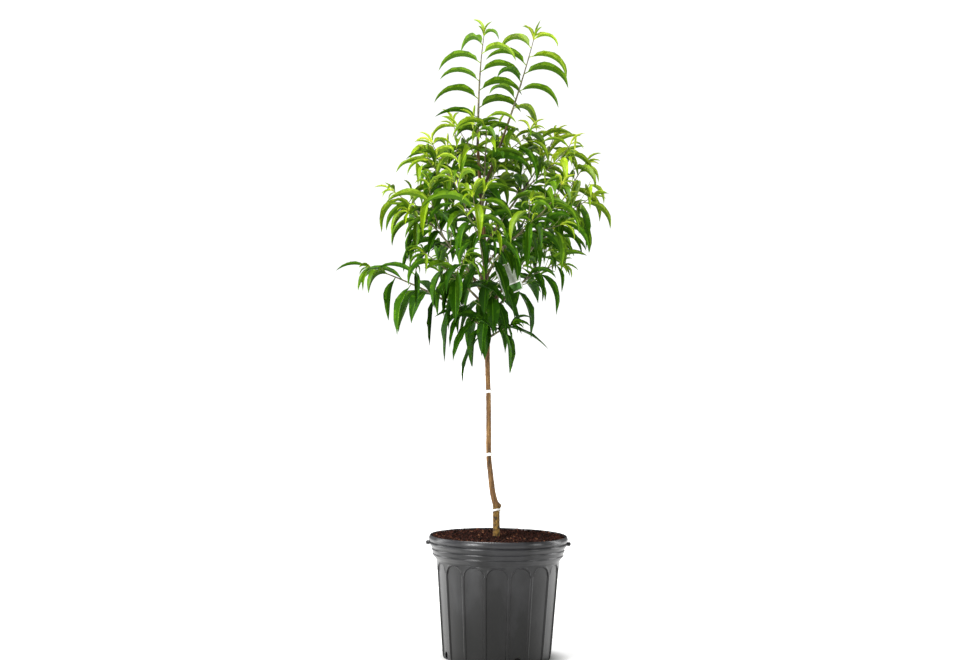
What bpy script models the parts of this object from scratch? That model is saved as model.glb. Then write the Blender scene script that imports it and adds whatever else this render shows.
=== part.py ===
"""A dwarf peach tree in its black nursery pot.

The origin is the centre of the pot's flat underside, +Z is up and -Y faces the viewer.
All sizes are in metres. The trunk, every bough and every mass of leaves is one closed solid.
"""
import math
import random
from collections import namedtuple

import bmesh
import bpy
import numpy as np
from mathutils import Vector
from mathutils.bvhtree import BVHTree

# Clearance between neighbouring pieces
GAP = 0.0003

# Nursery pot
POT_HEIGHT = 0.246
RIM_RADIUS = 0.140
RIM_INNER_RADIUS = 0.1362
BASE_RADIUS = 0.109
SHOULDER_RADIUS = 0.1236
SHOULDER_DROP = 0.052
WALL = 0.002
FLOOR_THICKNESS = 0.003
FOOT_INSET = 0.0042
FOOT_RISE = 0.0070
FLUTES = 16
RIB_TURN = math.radians(10.1)
PANEL_RECESS = 0.0014
ARCH_RISE = 0.018
ARCH_TOP_DROP = 0.0535
ARCH_STEP = 0.0016
FLUTE_SHARES = (-0.462, -0.425, -0.26, 0.26, 0.425, 0.462)
RIM_SEGMENTS = 40
INSIDE_SEGMENTS = 24
# Each ring of the rim, as its drop below the top and its outer radius
RIM_RINGS = (
    (0.0480, 0.1246),
    (0.0425, 0.1292),
    (0.0400, 0.1312),
    (0.0310, 0.1318),
    (0.0205, 0.1364),
    (0.0180, 0.1384),
    (0.0150, 0.1384),
    (0.0132, 0.1368),
    (0.0118, 0.1396),
    (0.0040, 0.1400),
    (0.0008, 0.1390),
)
EAR_RADIUS = 0.0042
EAR_REACH = 0.1460
EAR_DROP = 0.0165
EAR_LENGTH = 0.0085
EAR_SIDES = 8
EAR_TIP_SHARE = 0.8
# The inside below the lip, as drops below the top and inner radii
LIP_WIDTH = 0.0022
LIP_INNER_DROP = 0.0010
INSIDE_RINGS = (
    (0.0150, 0.1332),
    (0.0330, 0.1292),
)
DRAIN_HOLES = 4
DRAIN_WIDTH = 0.013
DRAIN_LOW = 0.0036
DRAIN_SPRING = 0.0120
DRAIN_HIGH = 0.0165
DRAIN_TOP_SHARE = 0.2

# Soil, a little lower round the trunk than at the rim
SOIL_CROWN = 0.2425
SOIL_EDGE = 0.2436
SOIL_EDGE_DEPTH = 0.0020
SOIL_FLAT_RADIUS = 0.030
SOIL_MIDDLE_RADIUS = 0.080
SOIL_EDGE_RADIUS = 0.1338
SOIL_SEGMENTS = 24

# Trunk, as stations of height, sideways place and radius from the soil to its tip
TrunkStation = namedtuple("TrunkStation", "height x radius")
TRUNK_STATIONS = (
    TrunkStation(SOIL_CROWN + GAP, -0.0042, 0.0086),
    TrunkStation(0.2520, -0.0042, 0.0073),
    TrunkStation(0.2720, -0.0046, 0.0069),
    TrunkStation(0.2960, -0.0049, 0.0069),
    TrunkStation(0.3045, -0.0052, 0.0072),
    TrunkStation(0.3145, -0.0084, 0.0063),
    TrunkStation(0.3370, -0.0137, 0.0058),
    TrunkStation(0.3700, -0.0178, 0.0054),
    TrunkStation(0.4000, -0.0213, 0.0052),
    TrunkStation(0.4500, -0.0224, 0.0051),
    TrunkStation(0.5200, -0.0237, 0.0049),
    TrunkStation(0.5900, -0.0268, 0.0048),
    TrunkStation(0.6600, -0.0281, 0.0047),
    TrunkStation(0.8000, -0.0340, 0.0041),
    TrunkStation(0.9200, -0.0440, 0.0034),
    TrunkStation(1.0260, -0.0525, 0.0028),
)
TRUNK_SIDES = 10
TRUNK_RING_STEP = 0.045
FLARE_HEIGHT = 0.012
FLARE_LOBES = 3
FLARE_DEPTH = 0.10
GRAFT_HEIGHT = 0.3060
GRAFT_SPREAD = 0.0060
GRAFT_BULGE = 0.42

# White ties round the trunk
TIE_HEIGHTS = (0.2965, 0.4075, 0.5340)
TIE_BAND = 0.0070
TIE_THICKNESS = 0.0013
TIE_SIDES = 12
KNOT_TURN = -0.35
KNOT_DEPTH = 0.0030
KNOT_WIDTH = 0.0034
KNOT_SHARE = 0.7

# Plain label on its strap
TAG_WIDTH = 0.044
TAG_HEIGHT = 0.060
TAG_THICKNESS = 0.0009
TAG_CENTRE = Vector((0.0140, -0.0500, 0.7600))
TAG_TILT = math.radians(20.0)
TAG_YAW = math.radians(-24.0)
STRAP_HEIGHT = 0.8110
STRAP_BAND = 0.0040
STRAP_WIDTH = 0.0034
STRAP_THICKNESS = 0.0010
# How far inside the label's corner the strap is joined
STRAP_INSET_ACROSS = 0.006
STRAP_INSET_DOWN = 0.004

# The crown's axis and the limits that no leaf passes
CROWN_X = -0.027
LEFT_LIMIT = -0.3315
RIGHT_LIMIT = 0.2215
DEPTH_LIMIT = 0.262
TOP_LIMIT = 1.2850
LOW_LIMIT = 0.5350

# A branch leaves the trunk at a height and ends at a tip, given by its compass angle, its reach
# from the crown's axis and its height. The first share of it is the bare bough.
Branch = namedtuple("Branch", "name start azimuth reach height leave arrive bare radius turn phase")
# A side shoot leaves its branch at a share of the way along
Shoot = namedtuple("Shoot", "branch start azimuth reach height arrive")

BRANCHES = (
    Branch("top_left", 1.0260, 180, 0.0150, 1.2560, 90, 82, 0.00, 0.0028, 170, 60),
    Branch("top_right", 0.9300, 1, 0.0860, 1.2500, 68, 76, 0.48, 0.0034, 170, -120),
    Branch("low_left", 0.6560, -171, 0.2450, 0.7800, 40, 18, 0.26, 0.0034, 144, 90),
    Branch("low_right", 0.6780, -8, 0.1460, 0.7900, 52, 8, 0.24, 0.0031, 144, 30),
    Branch("right_mid", 0.7000, 6, 0.1960, 1.0000, 50, 58, 0.26, 0.0036, 144, 200),
    Branch("left_mid", 0.7160, 174, 0.2000, 0.9380, 60, 34, 0.24, 0.0034, 144, 10),
    Branch("front_left", 0.7560, -101, 0.1720, 0.9200, 48, 52, 0.22, 0.0030, 144, 70),
    Branch("front_right", 0.7900, -41, 0.1860, 0.9420, 40, 58, 0.22, 0.0030, 144, 250),
    Branch("back_left", 0.7400, 121, 0.1950, 0.9450, 48, 56, 0.22, 0.0032, 144, 130),
    Branch("back_right", 0.7620, 62, 0.1980, 0.9300, 48, 54, 0.22, 0.0032, 144, 310),
    Branch("right_high", 0.8260, 22, 0.1420, 1.0560, 58, 66, 0.22, 0.0030, 144, 20),
    Branch("left_high", 0.8500, 150, 0.1400, 1.0420, 55, 60, 0.22, 0.0029, 144, 180),
    Branch("low_front", 0.7000, -138, 0.1740, 0.8080, 40, 26, 0.22, 0.0028, 144, 240),
    Branch("low_back", 0.6880, 92, 0.1780, 0.8030, 38, 30, 0.22, 0.0029, 144, 40),
    Branch("crown_front", 0.8980, -96, 0.0640, 1.0860, 60, 70, 0.00, 0.0022, 144, 0),
    Branch("crown_back", 0.8780, 84, 0.1150, 1.0240, 52, 66, 0.00, 0.0022, 144, 90),
    Branch("spur_left", 0.6480, -112, 0.0640, 0.6760, 24, 20, 0.00, 0.0021, 144, 300),
    Branch("spur_right", 0.6400, -30, 0.0600, 0.6700, 30, 20, 0.00, 0.0020, 144, 20),
    Branch("spur_back", 0.6740, 140, 0.0800, 0.7100, 24, 30, 0.00, 0.0021, 144, 120),
)
SHOOTS = (
    Shoot("low_left", 0.60, -150, 0.1650, 0.7860, 30),
    Shoot("low_right", 0.52, 14, 0.1250, 0.8230, 40),
    Shoot("right_mid", 0.56, -17, 0.2120, 0.9250, 34),
    Shoot("right_mid", 0.40, 34, 0.1600, 0.8700, 40),
    Shoot("left_mid", 0.50, -146, 0.1440, 0.9390, 66),
    Shoot("left_mid", 0.62, -160, 0.1720, 0.8900, 26),
    Shoot("left_mid", 0.40, 155, 0.1550, 0.8550, 40),
    Shoot("front_left", 0.46, -124, 0.1320, 0.9540, 66),
    Shoot("front_left", 0.36, -84, 0.1500, 0.8560, 40),
    Shoot("front_right", 0.48, -64, 0.1760, 0.9080, 52),
    Shoot("front_right", 0.40, -30, 0.1700, 0.8700, 30),
    Shoot("back_left", 0.50, 142, 0.1800, 0.8900, 48),
    Shoot("back_right", 0.50, 40, 0.1960, 0.8900, 44),
    Shoot("back_right", 0.42, 80, 0.1800, 0.8800, 44),
    Shoot("right_high", 0.46, -8, 0.1620, 1.0320, 60),
    Shoot("right_high", 0.40, 50, 0.1000, 1.0150, 66),
    Shoot("left_high", 0.44, 162, 0.0800, 1.0760, 72),
    Shoot("left_high", 0.50, -158, 0.1360, 1.0000, 54),
    Shoot("low_front", 0.50, -108, 0.1480, 0.7960, 30),
    Shoot("low_back", 0.46, 122, 0.1700, 0.8000, 30),
    Shoot("low_back", 0.40, 62, 0.1620, 0.7920, 30),
    Shoot("crown_front", 0.42, -12, 0.0820, 1.0600, 64),
    Shoot("crown_front", 0.36, -148, 0.0780, 1.0600, 60),
)
BRANCH_STEPS = 60
SHOOT_STEPS = 40
SHOOT_PULL = 1.6
TIP_RADIUS = 0.0007
SHOOT_PHASE = 100.0
BOUGH_SIDES = 6
TWIG_SIDES = 3
BOUGH_STEP = 0.020
TWIG_STEP = 0.036
SIDE_SHOOT_SHARE = 0.72
COLLAR = 1.30
COLLAR_LENGTH = 0.010

# Leaves
LEAF_SPACING = 0.0180
LEAF_MARGIN = 0.012
LEAF_OLD_LENGTH = 0.124
LEAF_GROWN_LENGTH = 0.106
LEAF_YOUNG_LENGTH = 0.054
LEAF_GROWN_AFTER = 0.030
LEAF_OLD_AFTER = 0.120
LEAF_WIDTH_SHARE = 0.235
LEAF_ANGLE = 54.0
LEAF_HANG = 46.0
LEAF_LEAST_HANG = 4.0
HANGING_BELOW = 0.870
HANGING_DEPTH = 0.150
LEAF_YOUNG_BEND = 104.0
LEAF_AGED_BEND = -14.0
LEAF_HANGING_BEND = -36.0
LEAF_STEEPEST = -86.0
LEAF_HIGHEST = 66.0
LEAF_TRIES = 7
LEAF_STEPS = 24
LEAF_STATIONS = ((0.00, 0.00), (0.36, 0.46), (0.70, 0.34))
LEAF_FOLD = 0.70
LEAF_KEEL = 0.0006
LEAF_ROOT_SHARE = 0.34
LEAF_TEST_START = 0.16
LEAF_TEST_SPARE = 0.0004
TIP_LEAF_LENGTH = {"low_left": 0.068, "top_right": 0.036, "top_left": 0.030}
TIP_LEAF_DEFAULT = 0.040
TIP_LEAF_BEND = {"top_right": 12.0}
TIP_BEND_DEFAULT = 60.0
TIP_LEAF_WIDTH_SHARE = 0.18
# How far the seeded rule strays either way, in degrees
STRAY_ROUND = 12.0
STRAY_OPENING = 8.0
STRAY_LIFT = 8.0
STRAY_BEND = 12.0
STRAY_ROLL = 26.0
STRAY_SICKLE = 16.0
SEED = 41

Leaf = namedtuple("Leaf", "root azimuth lift bend length width roll sickle age stem")


def clear_scene():
    """Remove every object, so that the model starts from nothing."""
    for thing in list(bpy.data.objects):
        bpy.data.objects.remove(thing, do_unlink=True)


def material(name, colour, roughness, metallic=0.0):
    """A Principled material in one plain colour."""
    made = bpy.data.materials.new(name)
    made.use_nodes = True
    shader = made.node_tree.nodes["Principled BSDF"]
    shader.inputs["Base Color"].default_value = (*colour, 1.0)
    shader.inputs["Roughness"].default_value = roughness
    shader.inputs["Metallic"].default_value = metallic
    made.diffuse_color = (*colour, 1.0)
    return made


def smooth_object(name, bm, look, angle=40.0):
    """Turn a bmesh into a named object with faces out, smooth but for its sharp edges."""
    bmesh.ops.recalc_face_normals(bm, faces=bm.faces)
    bmesh.ops.triangulate(bm, faces=bm.faces)
    mesh = bpy.data.meshes.new(name)
    bm.to_mesh(mesh)
    bm.free()
    mesh.shade_smooth()
    mesh.set_sharp_from_angle(angle=math.radians(angle))
    mesh.materials.append(look)
    made = bpy.data.objects.new(name, mesh)
    bpy.context.scene.collection.objects.link(made)
    return made


def ring(bm, points):
    """A loop of new vertices."""
    return [bm.verts.new(p) for p in points]


def polar(radius, angle, height):
    """A point at an angle about the pot's axis."""
    return Vector((radius * math.cos(angle), radius * math.sin(angle), height))


def zip_rings(bm, first, second):
    """Join two loops round the same axis, which may have different counts."""
    steps_a, steps_b = len(first), len(second)
    a = b = 0
    while a < steps_a or b < steps_b:
        take_first = b >= steps_b or (a < steps_a and (a + 1) / steps_a <= (b + 1) / steps_b)
        here, there = first[a % steps_a], second[b % steps_b]
        if take_first:
            bm.faces.new((here, first[(a + 1) % steps_a], there))
            a += 1
        else:
            bm.faces.new((here, second[(b + 1) % steps_b], there))
            b += 1


def cap(bm, loop, centre):
    """Close a loop with a fan round a centre."""
    middle = bm.verts.new(centre)
    for a, b in zip(loop, loop[1:] + loop[:1]):
        bm.faces.new((a, b, middle))


def boolean(target, operation, other=None, group=None):
    """Apply a Boolean modifier to an object, with one cutter or with a collection."""
    before = len(target.data.polygons)
    for solver in ("EXACT", "MANIFOLD"):
        change = target.modifiers.new("Join", "BOOLEAN")
        change.operation = operation
        change.solver = solver
        if group is None:
            change.object = other
        else:
            change.operand_type = "COLLECTION"
            change.collection = group
        shape = target.evaluated_get(bpy.context.evaluated_depsgraph_get())
        result = bpy.data.meshes.new_from_object(shape)
        target.modifiers.clear()
        if operation == "DIFFERENCE" or len(result.polygons) > before:
            break
        bpy.data.meshes.remove(result)
    old = target.data
    target.data = result
    result.name = target.name
    bpy.data.meshes.remove(old)


def remove(things):
    """Remove objects and their meshes."""
    for thing in list(things):
        mesh = thing.data
        bpy.data.objects.remove(thing, do_unlink=True)
        bpy.data.meshes.remove(mesh)


# Pot and soil
def wall_radius(height):
    """The wall's outer radius on a rib, from the base to the shoulder."""
    share = height / (POT_HEIGHT - SHOULDER_DROP)
    return BASE_RADIUS + (SHOULDER_RADIUS - BASE_RADIUS) * share


def flute_angles():
    """The angle of each wall vertex and its share of the way across its flute."""
    pitch = 2 * math.pi / FLUTES
    first_panel = RIB_TURN - math.pi / 2 + pitch / 2
    return [(first_panel + (flute + share) * pitch, share) for flute in range(FLUTES) for share in FLUTE_SHARES]


def arch_height(share):
    """The height of a panel's arched top at a share of the way across it."""
    edge = FLUTE_SHARES[-2]
    across = min(abs(share) / edge, 1.0)
    return POT_HEIGHT - ARCH_TOP_DROP - ARCH_RISE * (1 - math.sqrt(1 - across * across))


def recess(share):
    """How far a wall vertex is set back: the ribs stand proud of the panels."""
    return PANEL_RECESS if abs(share) <= FLUTE_SHARES[-2] else 0.0


def wall_rings():
    """The fluted wall's rings from the underside, round the foot and up to above the arches."""
    around = flute_angles()
    rings = []
    for turn in (0, math.pi / 4, math.pi / 2):
        height = FOOT_RISE * (1 - math.cos(turn))
        inset = FOOT_INSET * (1 - math.sin(turn))
        rings.append([polar(wall_radius(height) - inset - recess(s), a, height) for a, s in around])
    rings.append([polar(wall_radius(arch_height(s)) - recess(s), a, arch_height(s)) for a, s in around])
    rings.append([polar(wall_radius(arch_height(s)), a, arch_height(s) + ARCH_STEP) for a, s in around])
    return rings


def circle(radius, height, count):
    """A level ring that starts where the flutes start."""
    start = flute_angles()[0][0]
    return [polar(radius, start + 2 * math.pi * i / count, height) for i in range(count)]


def inside_radius(height):
    """The inner wall's radius."""
    return wall_radius(height) - PANEL_RECESS - WALL


def pot(look):
    """The moulded pot: fluted wall, stepped rim, flat base, two ears and drain holes."""
    bm = bmesh.new()
    rings = [ring(bm, points) for points in wall_rings()]
    rings += [ring(bm, circle(r, POT_HEIGHT - drop, RIM_SEGMENTS)) for drop, r in RIM_RINGS]
    rings.append(ring(bm, circle(RIM_RADIUS - LIP_WIDTH, POT_HEIGHT, RIM_SEGMENTS)))
    rings.append(ring(bm, circle(RIM_INNER_RADIUS, POT_HEIGHT - LIP_INNER_DROP, RIM_SEGMENTS)))
    rings += [ring(bm, circle(r, POT_HEIGHT - drop, INSIDE_SEGMENTS)) for drop, r in INSIDE_RINGS]
    for height in (POT_HEIGHT - SHOULDER_DROP, FLOOR_THICKNESS):
        rings.append(ring(bm, circle(inside_radius(height), height, INSIDE_SEGMENTS)))
    for lower, upper in zip(rings, rings[1:]):
        zip_rings(bm, lower, upper)
    cap(bm, rings[-1], (0, 0, FLOOR_THICKNESS))
    cap(bm, rings[0], (0, 0, 0))
    made = smooth_object("pot", bm, look)
    ears = [ear(side, look) for side in (-1, 1)]
    fuse(made, ears)
    cutters = [drain_cutter(i, look) for i in range(DRAIN_HOLES)]
    for cutter in cutters:
        boolean(made, "DIFFERENCE", other=cutter)
    remove(cutters)
    return made


def ear(side, look):
    """A small round lug on the bead under the rim."""
    bm = bmesh.new()
    loops = []
    for reach, radius in ((EAR_REACH - EAR_LENGTH, EAR_RADIUS), (EAR_REACH, EAR_RADIUS * EAR_TIP_SHARE)):
        middle = Vector((side * reach, 0, POT_HEIGHT - EAR_DROP))
        turns = [2 * math.pi * i / EAR_SIDES for i in range(EAR_SIDES)]
        loops.append(ring(bm, [middle + Vector((0, math.cos(t), math.sin(t))) * radius for t in turns]))
        cap(bm, loops[-1], middle)
    zip_rings(bm, *loops)
    return smooth_object("ear", bm, look)


def drain_cutter(index, look):
    """An arched slot through the wall's foot, in every fourth panel."""
    pitch = 2 * math.pi / FLUTES
    angle = RIB_TURN - math.pi / 2 + pitch / 2 + 2 * math.pi * index / DRAIN_HOLES
    out = Vector((math.cos(angle), math.sin(angle), 0))
    across = Vector((-math.sin(angle), math.cos(angle), 0))
    right = ((0.5, DRAIN_LOW), (0.5, DRAIN_SPRING), (DRAIN_TOP_SHARE, DRAIN_HIGH))
    outline = right + tuple((-share, height) for share, height in reversed(right))
    bm = bmesh.new()
    loops = []
    for distance in (inside_radius(0) - FOOT_INSET, BASE_RADIUS + FOOT_INSET):
        points = [out * distance + across * (s * DRAIN_WIDTH) + Vector((0, 0, z)) for s, z in outline]
        loops.append(ring(bm, points))
        bm.faces.new(loops[-1])
    zip_rings(bm, *loops)
    return smooth_object("drain", bm, look)


def soil(look):
    """The potting mix, which fills the pot almost to its lip."""
    shoulder = POT_HEIGHT - SHOULDER_DROP
    flat_share = math.cos(math.pi / INSIDE_SEGMENTS)
    outline = (
        (inside_radius(FLOOR_THICKNESS) * flat_share - GAP, FLOOR_THICKNESS + GAP),
        (inside_radius(shoulder) * flat_share - GAP, shoulder),
        (SOIL_EDGE_RADIUS, SOIL_EDGE - SOIL_EDGE_DEPTH),
        (SOIL_EDGE_RADIUS - SOIL_EDGE_DEPTH, SOIL_EDGE),
        (SOIL_MIDDLE_RADIUS, (SOIL_EDGE + SOIL_CROWN) / 2),
        (SOIL_FLAT_RADIUS, SOIL_CROWN),
    )
    bm = bmesh.new()
    loops = [ring(bm, circle(r, z, SOIL_SEGMENTS)) for r, z in outline]
    for lower, upper in zip(loops, loops[1:]):
        zip_rings(bm, lower, upper)
    cap(bm, loops[0], (0, 0, FLOOR_THICKNESS + GAP))
    cap(bm, loops[-1], (0, 0, SOIL_CROWN))
    return smooth_object("soil", bm, look)


# Trunk, ties and label
def trunk_at(height):
    """The trunk's axis point and radius at a height, on a smooth curve through its stations."""
    heights = [s.height for s in TRUNK_STATIONS]
    height = min(max(height, heights[0]), heights[-1])
    i = min(max(int(np.searchsorted(heights, height)) - 1, 0), len(heights) - 2)
    before, here, there, after = (TRUNK_STATIONS[min(max(i + k, 0), len(heights) - 1)] for k in (-1, 0, 1, 2))
    span = there.height - here.height
    t = (height - here.height) / span
    values = []
    for field in ("x", "radius"):
        a, b, c, d = (getattr(s, field) for s in (before, here, there, after))
        slope_b = (c - a) / max(there.height - before.height, 1e-6) * span
        slope_c = (d - b) / max(after.height - here.height, 1e-6) * span
        values.append(
            (2 * t**3 - 3 * t**2 + 1) * b
            + (t**3 - 2 * t**2 + t) * slope_b
            + (3 * t**2 - 2 * t**3) * c
            + (t**3 - t**2) * slope_c
        )
    return Vector((values[0], 0.0, height)), values[1]


def trunk_radius(height, angle):
    """The trunk's radius at an angle, with the root flare and the swelling of the graft."""
    radius = trunk_at(height)[1]
    low = math.exp(-(((height - TRUNK_STATIONS[0].height) / FLARE_HEIGHT) ** 2))
    flare = FLARE_DEPTH * low * (1 + math.cos(FLARE_LOBES * angle))
    graft = math.exp(-(((height - GRAFT_HEIGHT) / GRAFT_SPREAD) ** 2))
    bulge = GRAFT_BULGE * graft * max(math.cos(angle), 0.0) ** 2
    return radius * (1 + flare + bulge)


def trunk_heights():
    """Ring heights: every station, with more rings where the stations lie far apart."""
    heights = [TRUNK_STATIONS[0].height]
    for below, above in zip(TRUNK_STATIONS, TRUNK_STATIONS[1:]):
        parts = max(1, round((above.height - below.height) / TRUNK_RING_STEP))
        step = (above.height - below.height) / parts
        heights += [below.height + step * (i + 1) for i in range(parts)]
    return heights


def trunk_loop(height, spare=0.0):
    """The points round the trunk at a height, a spare distance out."""
    centre = trunk_at(height)[0]
    loop = []
    for i in range(TRUNK_SIDES):
        angle = 2 * math.pi * i / TRUNK_SIDES
        out = Vector((math.cos(angle), math.sin(angle), 0))
        loop.append(centre + out * (trunk_radius(height, angle) + spare))
    return loop


def trunk_body(name, look, spare=0.0):
    """The trunk as stacked rings, flat at the soil and at its tip."""
    bm = bmesh.new()
    heights = trunk_heights()
    loops = [ring(bm, trunk_loop(z, spare)) for z in heights]
    for lower, upper in zip(loops, loops[1:]):
        zip_rings(bm, lower, upper)
    cap(bm, loops[0], trunk_at(heights[0])[0])
    cap(bm, loops[-1], trunk_at(heights[-1])[0])
    return smooth_object(name, bm, look)


def band(name, height, width, thickness, look):
    """A closed band round the trunk, a gap clear of it."""
    low, high = height - width / 2, height + width / 2
    fit = 1 / math.cos(math.pi / TRUNK_SIDES)
    bm = bmesh.new()
    loops = []
    for z, outer in ((low, False), (low, True), (high, True), (high, False)):
        centre, radius = trunk_at(z)
        angles = [2 * math.pi * i / TIE_SIDES for i in range(TIE_SIDES)]
        around = [max(trunk_radius(z, a), radius) * fit + GAP + (thickness if outer else 0.0) for a in angles]
        loops.append(ring(bm, [centre + polar(r, a, 0.0) for r, a in zip(around, angles)]))
    for first, second in zip(loops, loops[1:] + loops[:1]):
        zip_rings(bm, first, second)
    return smooth_object(name, bm, look, angle=30.0)


def block(name, centre, axes, sizes, look):
    """A small box on three axes."""
    bm = bmesh.new()
    bmesh.ops.create_cube(bm, size=1.0)
    for vert in bm.verts:
        vert.co = centre + sum((axis * (c * size) for axis, c, size in zip(axes, vert.co, sizes)), Vector())
    return smooth_object(name, bm, look)


def tie(number, height, look):
    """A white stretch tie with its small knot at the side."""
    made = band(f"tie_{number}", height, TIE_BAND, TIE_THICKNESS, look)
    out = Vector((math.cos(KNOT_TURN), math.sin(KNOT_TURN), 0))
    across = Vector((-out.y, out.x, 0))
    fit = 1 / math.cos(math.pi / TRUNK_SIDES)
    near = trunk_radius(height, 0.0) * fit + GAP + TIE_THICKNESS / 2
    centre = trunk_at(height)[0] + out * (near + KNOT_DEPTH / 2)
    sizes = (KNOT_DEPTH, KNOT_WIDTH, TIE_BAND * KNOT_SHARE)
    knot = block("knot", centre, (out, across, Vector((0, 0, 1))), sizes, look)
    fuse(made, [knot])
    return made


def tag_axes():
    """The label's across, out and up directions."""
    facing = Vector((math.sin(TAG_YAW), -math.cos(TAG_YAW), 0))
    level = Vector((-facing.y, facing.x, 0))
    up = Vector((0, 0, 1))
    across = level * math.cos(TAG_TILT) + up * math.sin(TAG_TILT)
    rise = up * math.cos(TAG_TILT) - level * math.sin(TAG_TILT)
    return across, facing, rise


def tag(look):
    """A plain label whose strap loops round the trunk inside the crown."""
    across, facing, rise = tag_axes()
    made = band("label", STRAP_HEIGHT, STRAP_BAND, STRAP_THICKNESS, look)
    corner = TAG_CENTRE + rise * (TAG_HEIGHT / 2 - STRAP_INSET_DOWN)
    corner -= across * (TAG_WIDTH / 2 - STRAP_INSET_ACROSS)
    centre, radius = trunk_at(STRAP_HEIGHT)
    toward = corner - centre
    flat = Vector((toward.x, toward.y, 0)).normalized()
    fit = 1 / math.cos(math.pi / TRUNK_SIDES)
    start = centre + flat * (radius * fit + GAP + STRAP_THICKNESS / 2)
    along = corner - start
    direction = along.normalized()
    side = direction.cross(facing).normalized()
    strip = block("strip", (start + corner) / 2, (direction, side, direction.cross(side)),
                  (along.length, STRAP_WIDTH, STRAP_THICKNESS), look)
    plate = block("plate", TAG_CENTRE, (across, facing, rise), (TAG_WIDTH, TAG_THICKNESS, TAG_HEIGHT), look)
    fuse(made, [strip, plate])
    return made


# Branches and shoots
def heading(azimuth, elevation):
    """A unit direction from a compass angle and a rise, both in degrees."""
    a, e = math.radians(azimuth), math.radians(elevation)
    return Vector((math.cos(e) * math.cos(a), math.cos(e) * math.sin(a), math.sin(e)))


def tip_point(azimuth, reach, height):
    """A tip's place from the crown's axis."""
    a = math.radians(azimuth)
    return Vector((CROWN_X + reach * math.cos(a), reach * math.sin(a), height))


def cubic(start, leave, end, arrive, steps):
    """Points on a cubic that leaves and arrives along two directions."""
    pull = (end - start).length / 3
    first, second = start + leave * pull, end - arrive * pull
    points = []
    for i in range(steps + 1):
        t = i / steps
        u = 1 - t
        points.append(u**3 * start + 3 * u * u * t * first + 3 * u * t * t * second + t**3 * end)
    return points


def branch_line(row):
    """A branch's whole line, from the trunk's axis to its tip."""
    start = trunk_at(row.start)[0]
    end = tip_point(row.azimuth, row.reach, row.height)
    away = math.degrees(math.atan2(end.y - start.y, end.x - start.x))
    return cubic(start, heading(away, row.leave), end, heading(away, row.arrive), BRANCH_STEPS)


def shoot_line(row, parent):
    """A side shoot's line, from the parent's axis to its tip."""
    index = round(row.start * (len(parent) - 1))
    start = parent[index]
    along = (parent[index + 1] - parent[index - 1]).normalized()
    end = tip_point(row.azimuth, row.reach, row.height)
    level = Vector((end.x - start.x, end.y - start.y, 0.0))
    away = math.degrees(math.atan2(level.y, level.x))
    leave = (along + (end - start).normalized() * SHOOT_PULL).normalized()
    return cubic(start, leave, end, heading(away, row.arrive), SHOOT_STEPS)


def line_length(points):
    """The length along a line."""
    return sum((b - a).length for a, b in zip(points, points[1:]))


def resample(points, step):
    """The same line with about one point for each step of length."""
    total = line_length(points)
    parts = max(2, round(total / step))
    made, travelled, wanted = [points[0]], 0.0, total / parts
    for a, b in zip(points, points[1:]):
        length = (b - a).length
        while travelled + length >= wanted - 1e-9 and len(made) < parts:
            made.append(a.lerp(b, (wanted - travelled) / length))
            wanted += total / parts
        travelled += length
    made.append(points[-1])
    return made


def frames(points):
    """A tangent and two cross directions at each point, carried along without twist."""
    tangents = []
    for i in range(len(points)):
        before, after = points[max(i - 1, 0)], points[min(i + 1, len(points) - 1)]
        tangents.append((after - before).normalized())
    side = Vector((1, 0, 0)) if abs(tangents[0].x) < 0.9 else Vector((0, 1, 0))
    made = []
    for tangent in tangents:
        side = (side - tangent * side.dot(tangent)).normalized()
        made.append((tangent, side, tangent.cross(side)))
    return made


def limb(name, points, radii, sides, look):
    """A tapering limb swept along a line, cut flat at both ends."""
    bm = bmesh.new()
    loops = []
    for point, radius, (tangent, side, other) in zip(points, radii, frames(points)):
        angles = [2 * math.pi * i / sides for i in range(sides)]
        loops.append(ring(bm, [point + (side * math.cos(a) + other * math.sin(a)) * radius for a in angles]))
    for lower, upper in zip(loops, loops[1:]):
        zip_rings(bm, lower, upper)
    cap(bm, loops[0], points[0])
    cap(bm, loops[-1], points[-1])
    return smooth_object(name, bm, look)


def tapered(points, first, last, collar=False):
    """Radii that fall evenly along a line, with a collar at its foot."""
    total = line_length(points)
    travelled, radii = 0.0, []
    for i, point in enumerate(points):
        if i:
            travelled += (point - points[i - 1]).length
        radius = first + (last - first) * travelled / total
        if collar:
            radius *= 1 + (COLLAR - 1) * math.exp(-((travelled / COLLAR_LENGTH) ** 2))
        radii.append(radius)
    return radii


Stem = namedtuple("Stem", "points radii turn phase on_trunk name")


def stems_of(row):
    """The bare bough's line and the stems of a branch's mass, each with its radii."""
    line = branch_line(row)
    bare = round(row.bare * (len(line) - 1))
    on_trunk = row.bare == 0 and row.start < TRUNK_STATIONS[-1].height
    radii = tapered(line, row.radius, TIP_RADIUS, collar=row.start < TRUNK_STATIONS[-1].height)
    bough = (line[: bare + 1], radii[: bare + 1]) if bare else None
    stems = [Stem(line[bare:], radii[bare:], row.turn, row.phase, on_trunk, row.name)]
    for number, shoot in enumerate(s for s in SHOOTS if s.branch == row.name):
        index = round(shoot.start * (len(line) - 1))
        side_line = shoot_line(shoot, line)
        side_radii = tapered(side_line, radii[index] * SIDE_SHOOT_SHARE, TIP_RADIUS)
        phase = row.phase + SHOOT_PHASE * (number + 1)
        stems.append(Stem(side_line, side_radii, row.turn, phase, False, f"{row.name}_{number}"))
    return bough, stems


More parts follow.
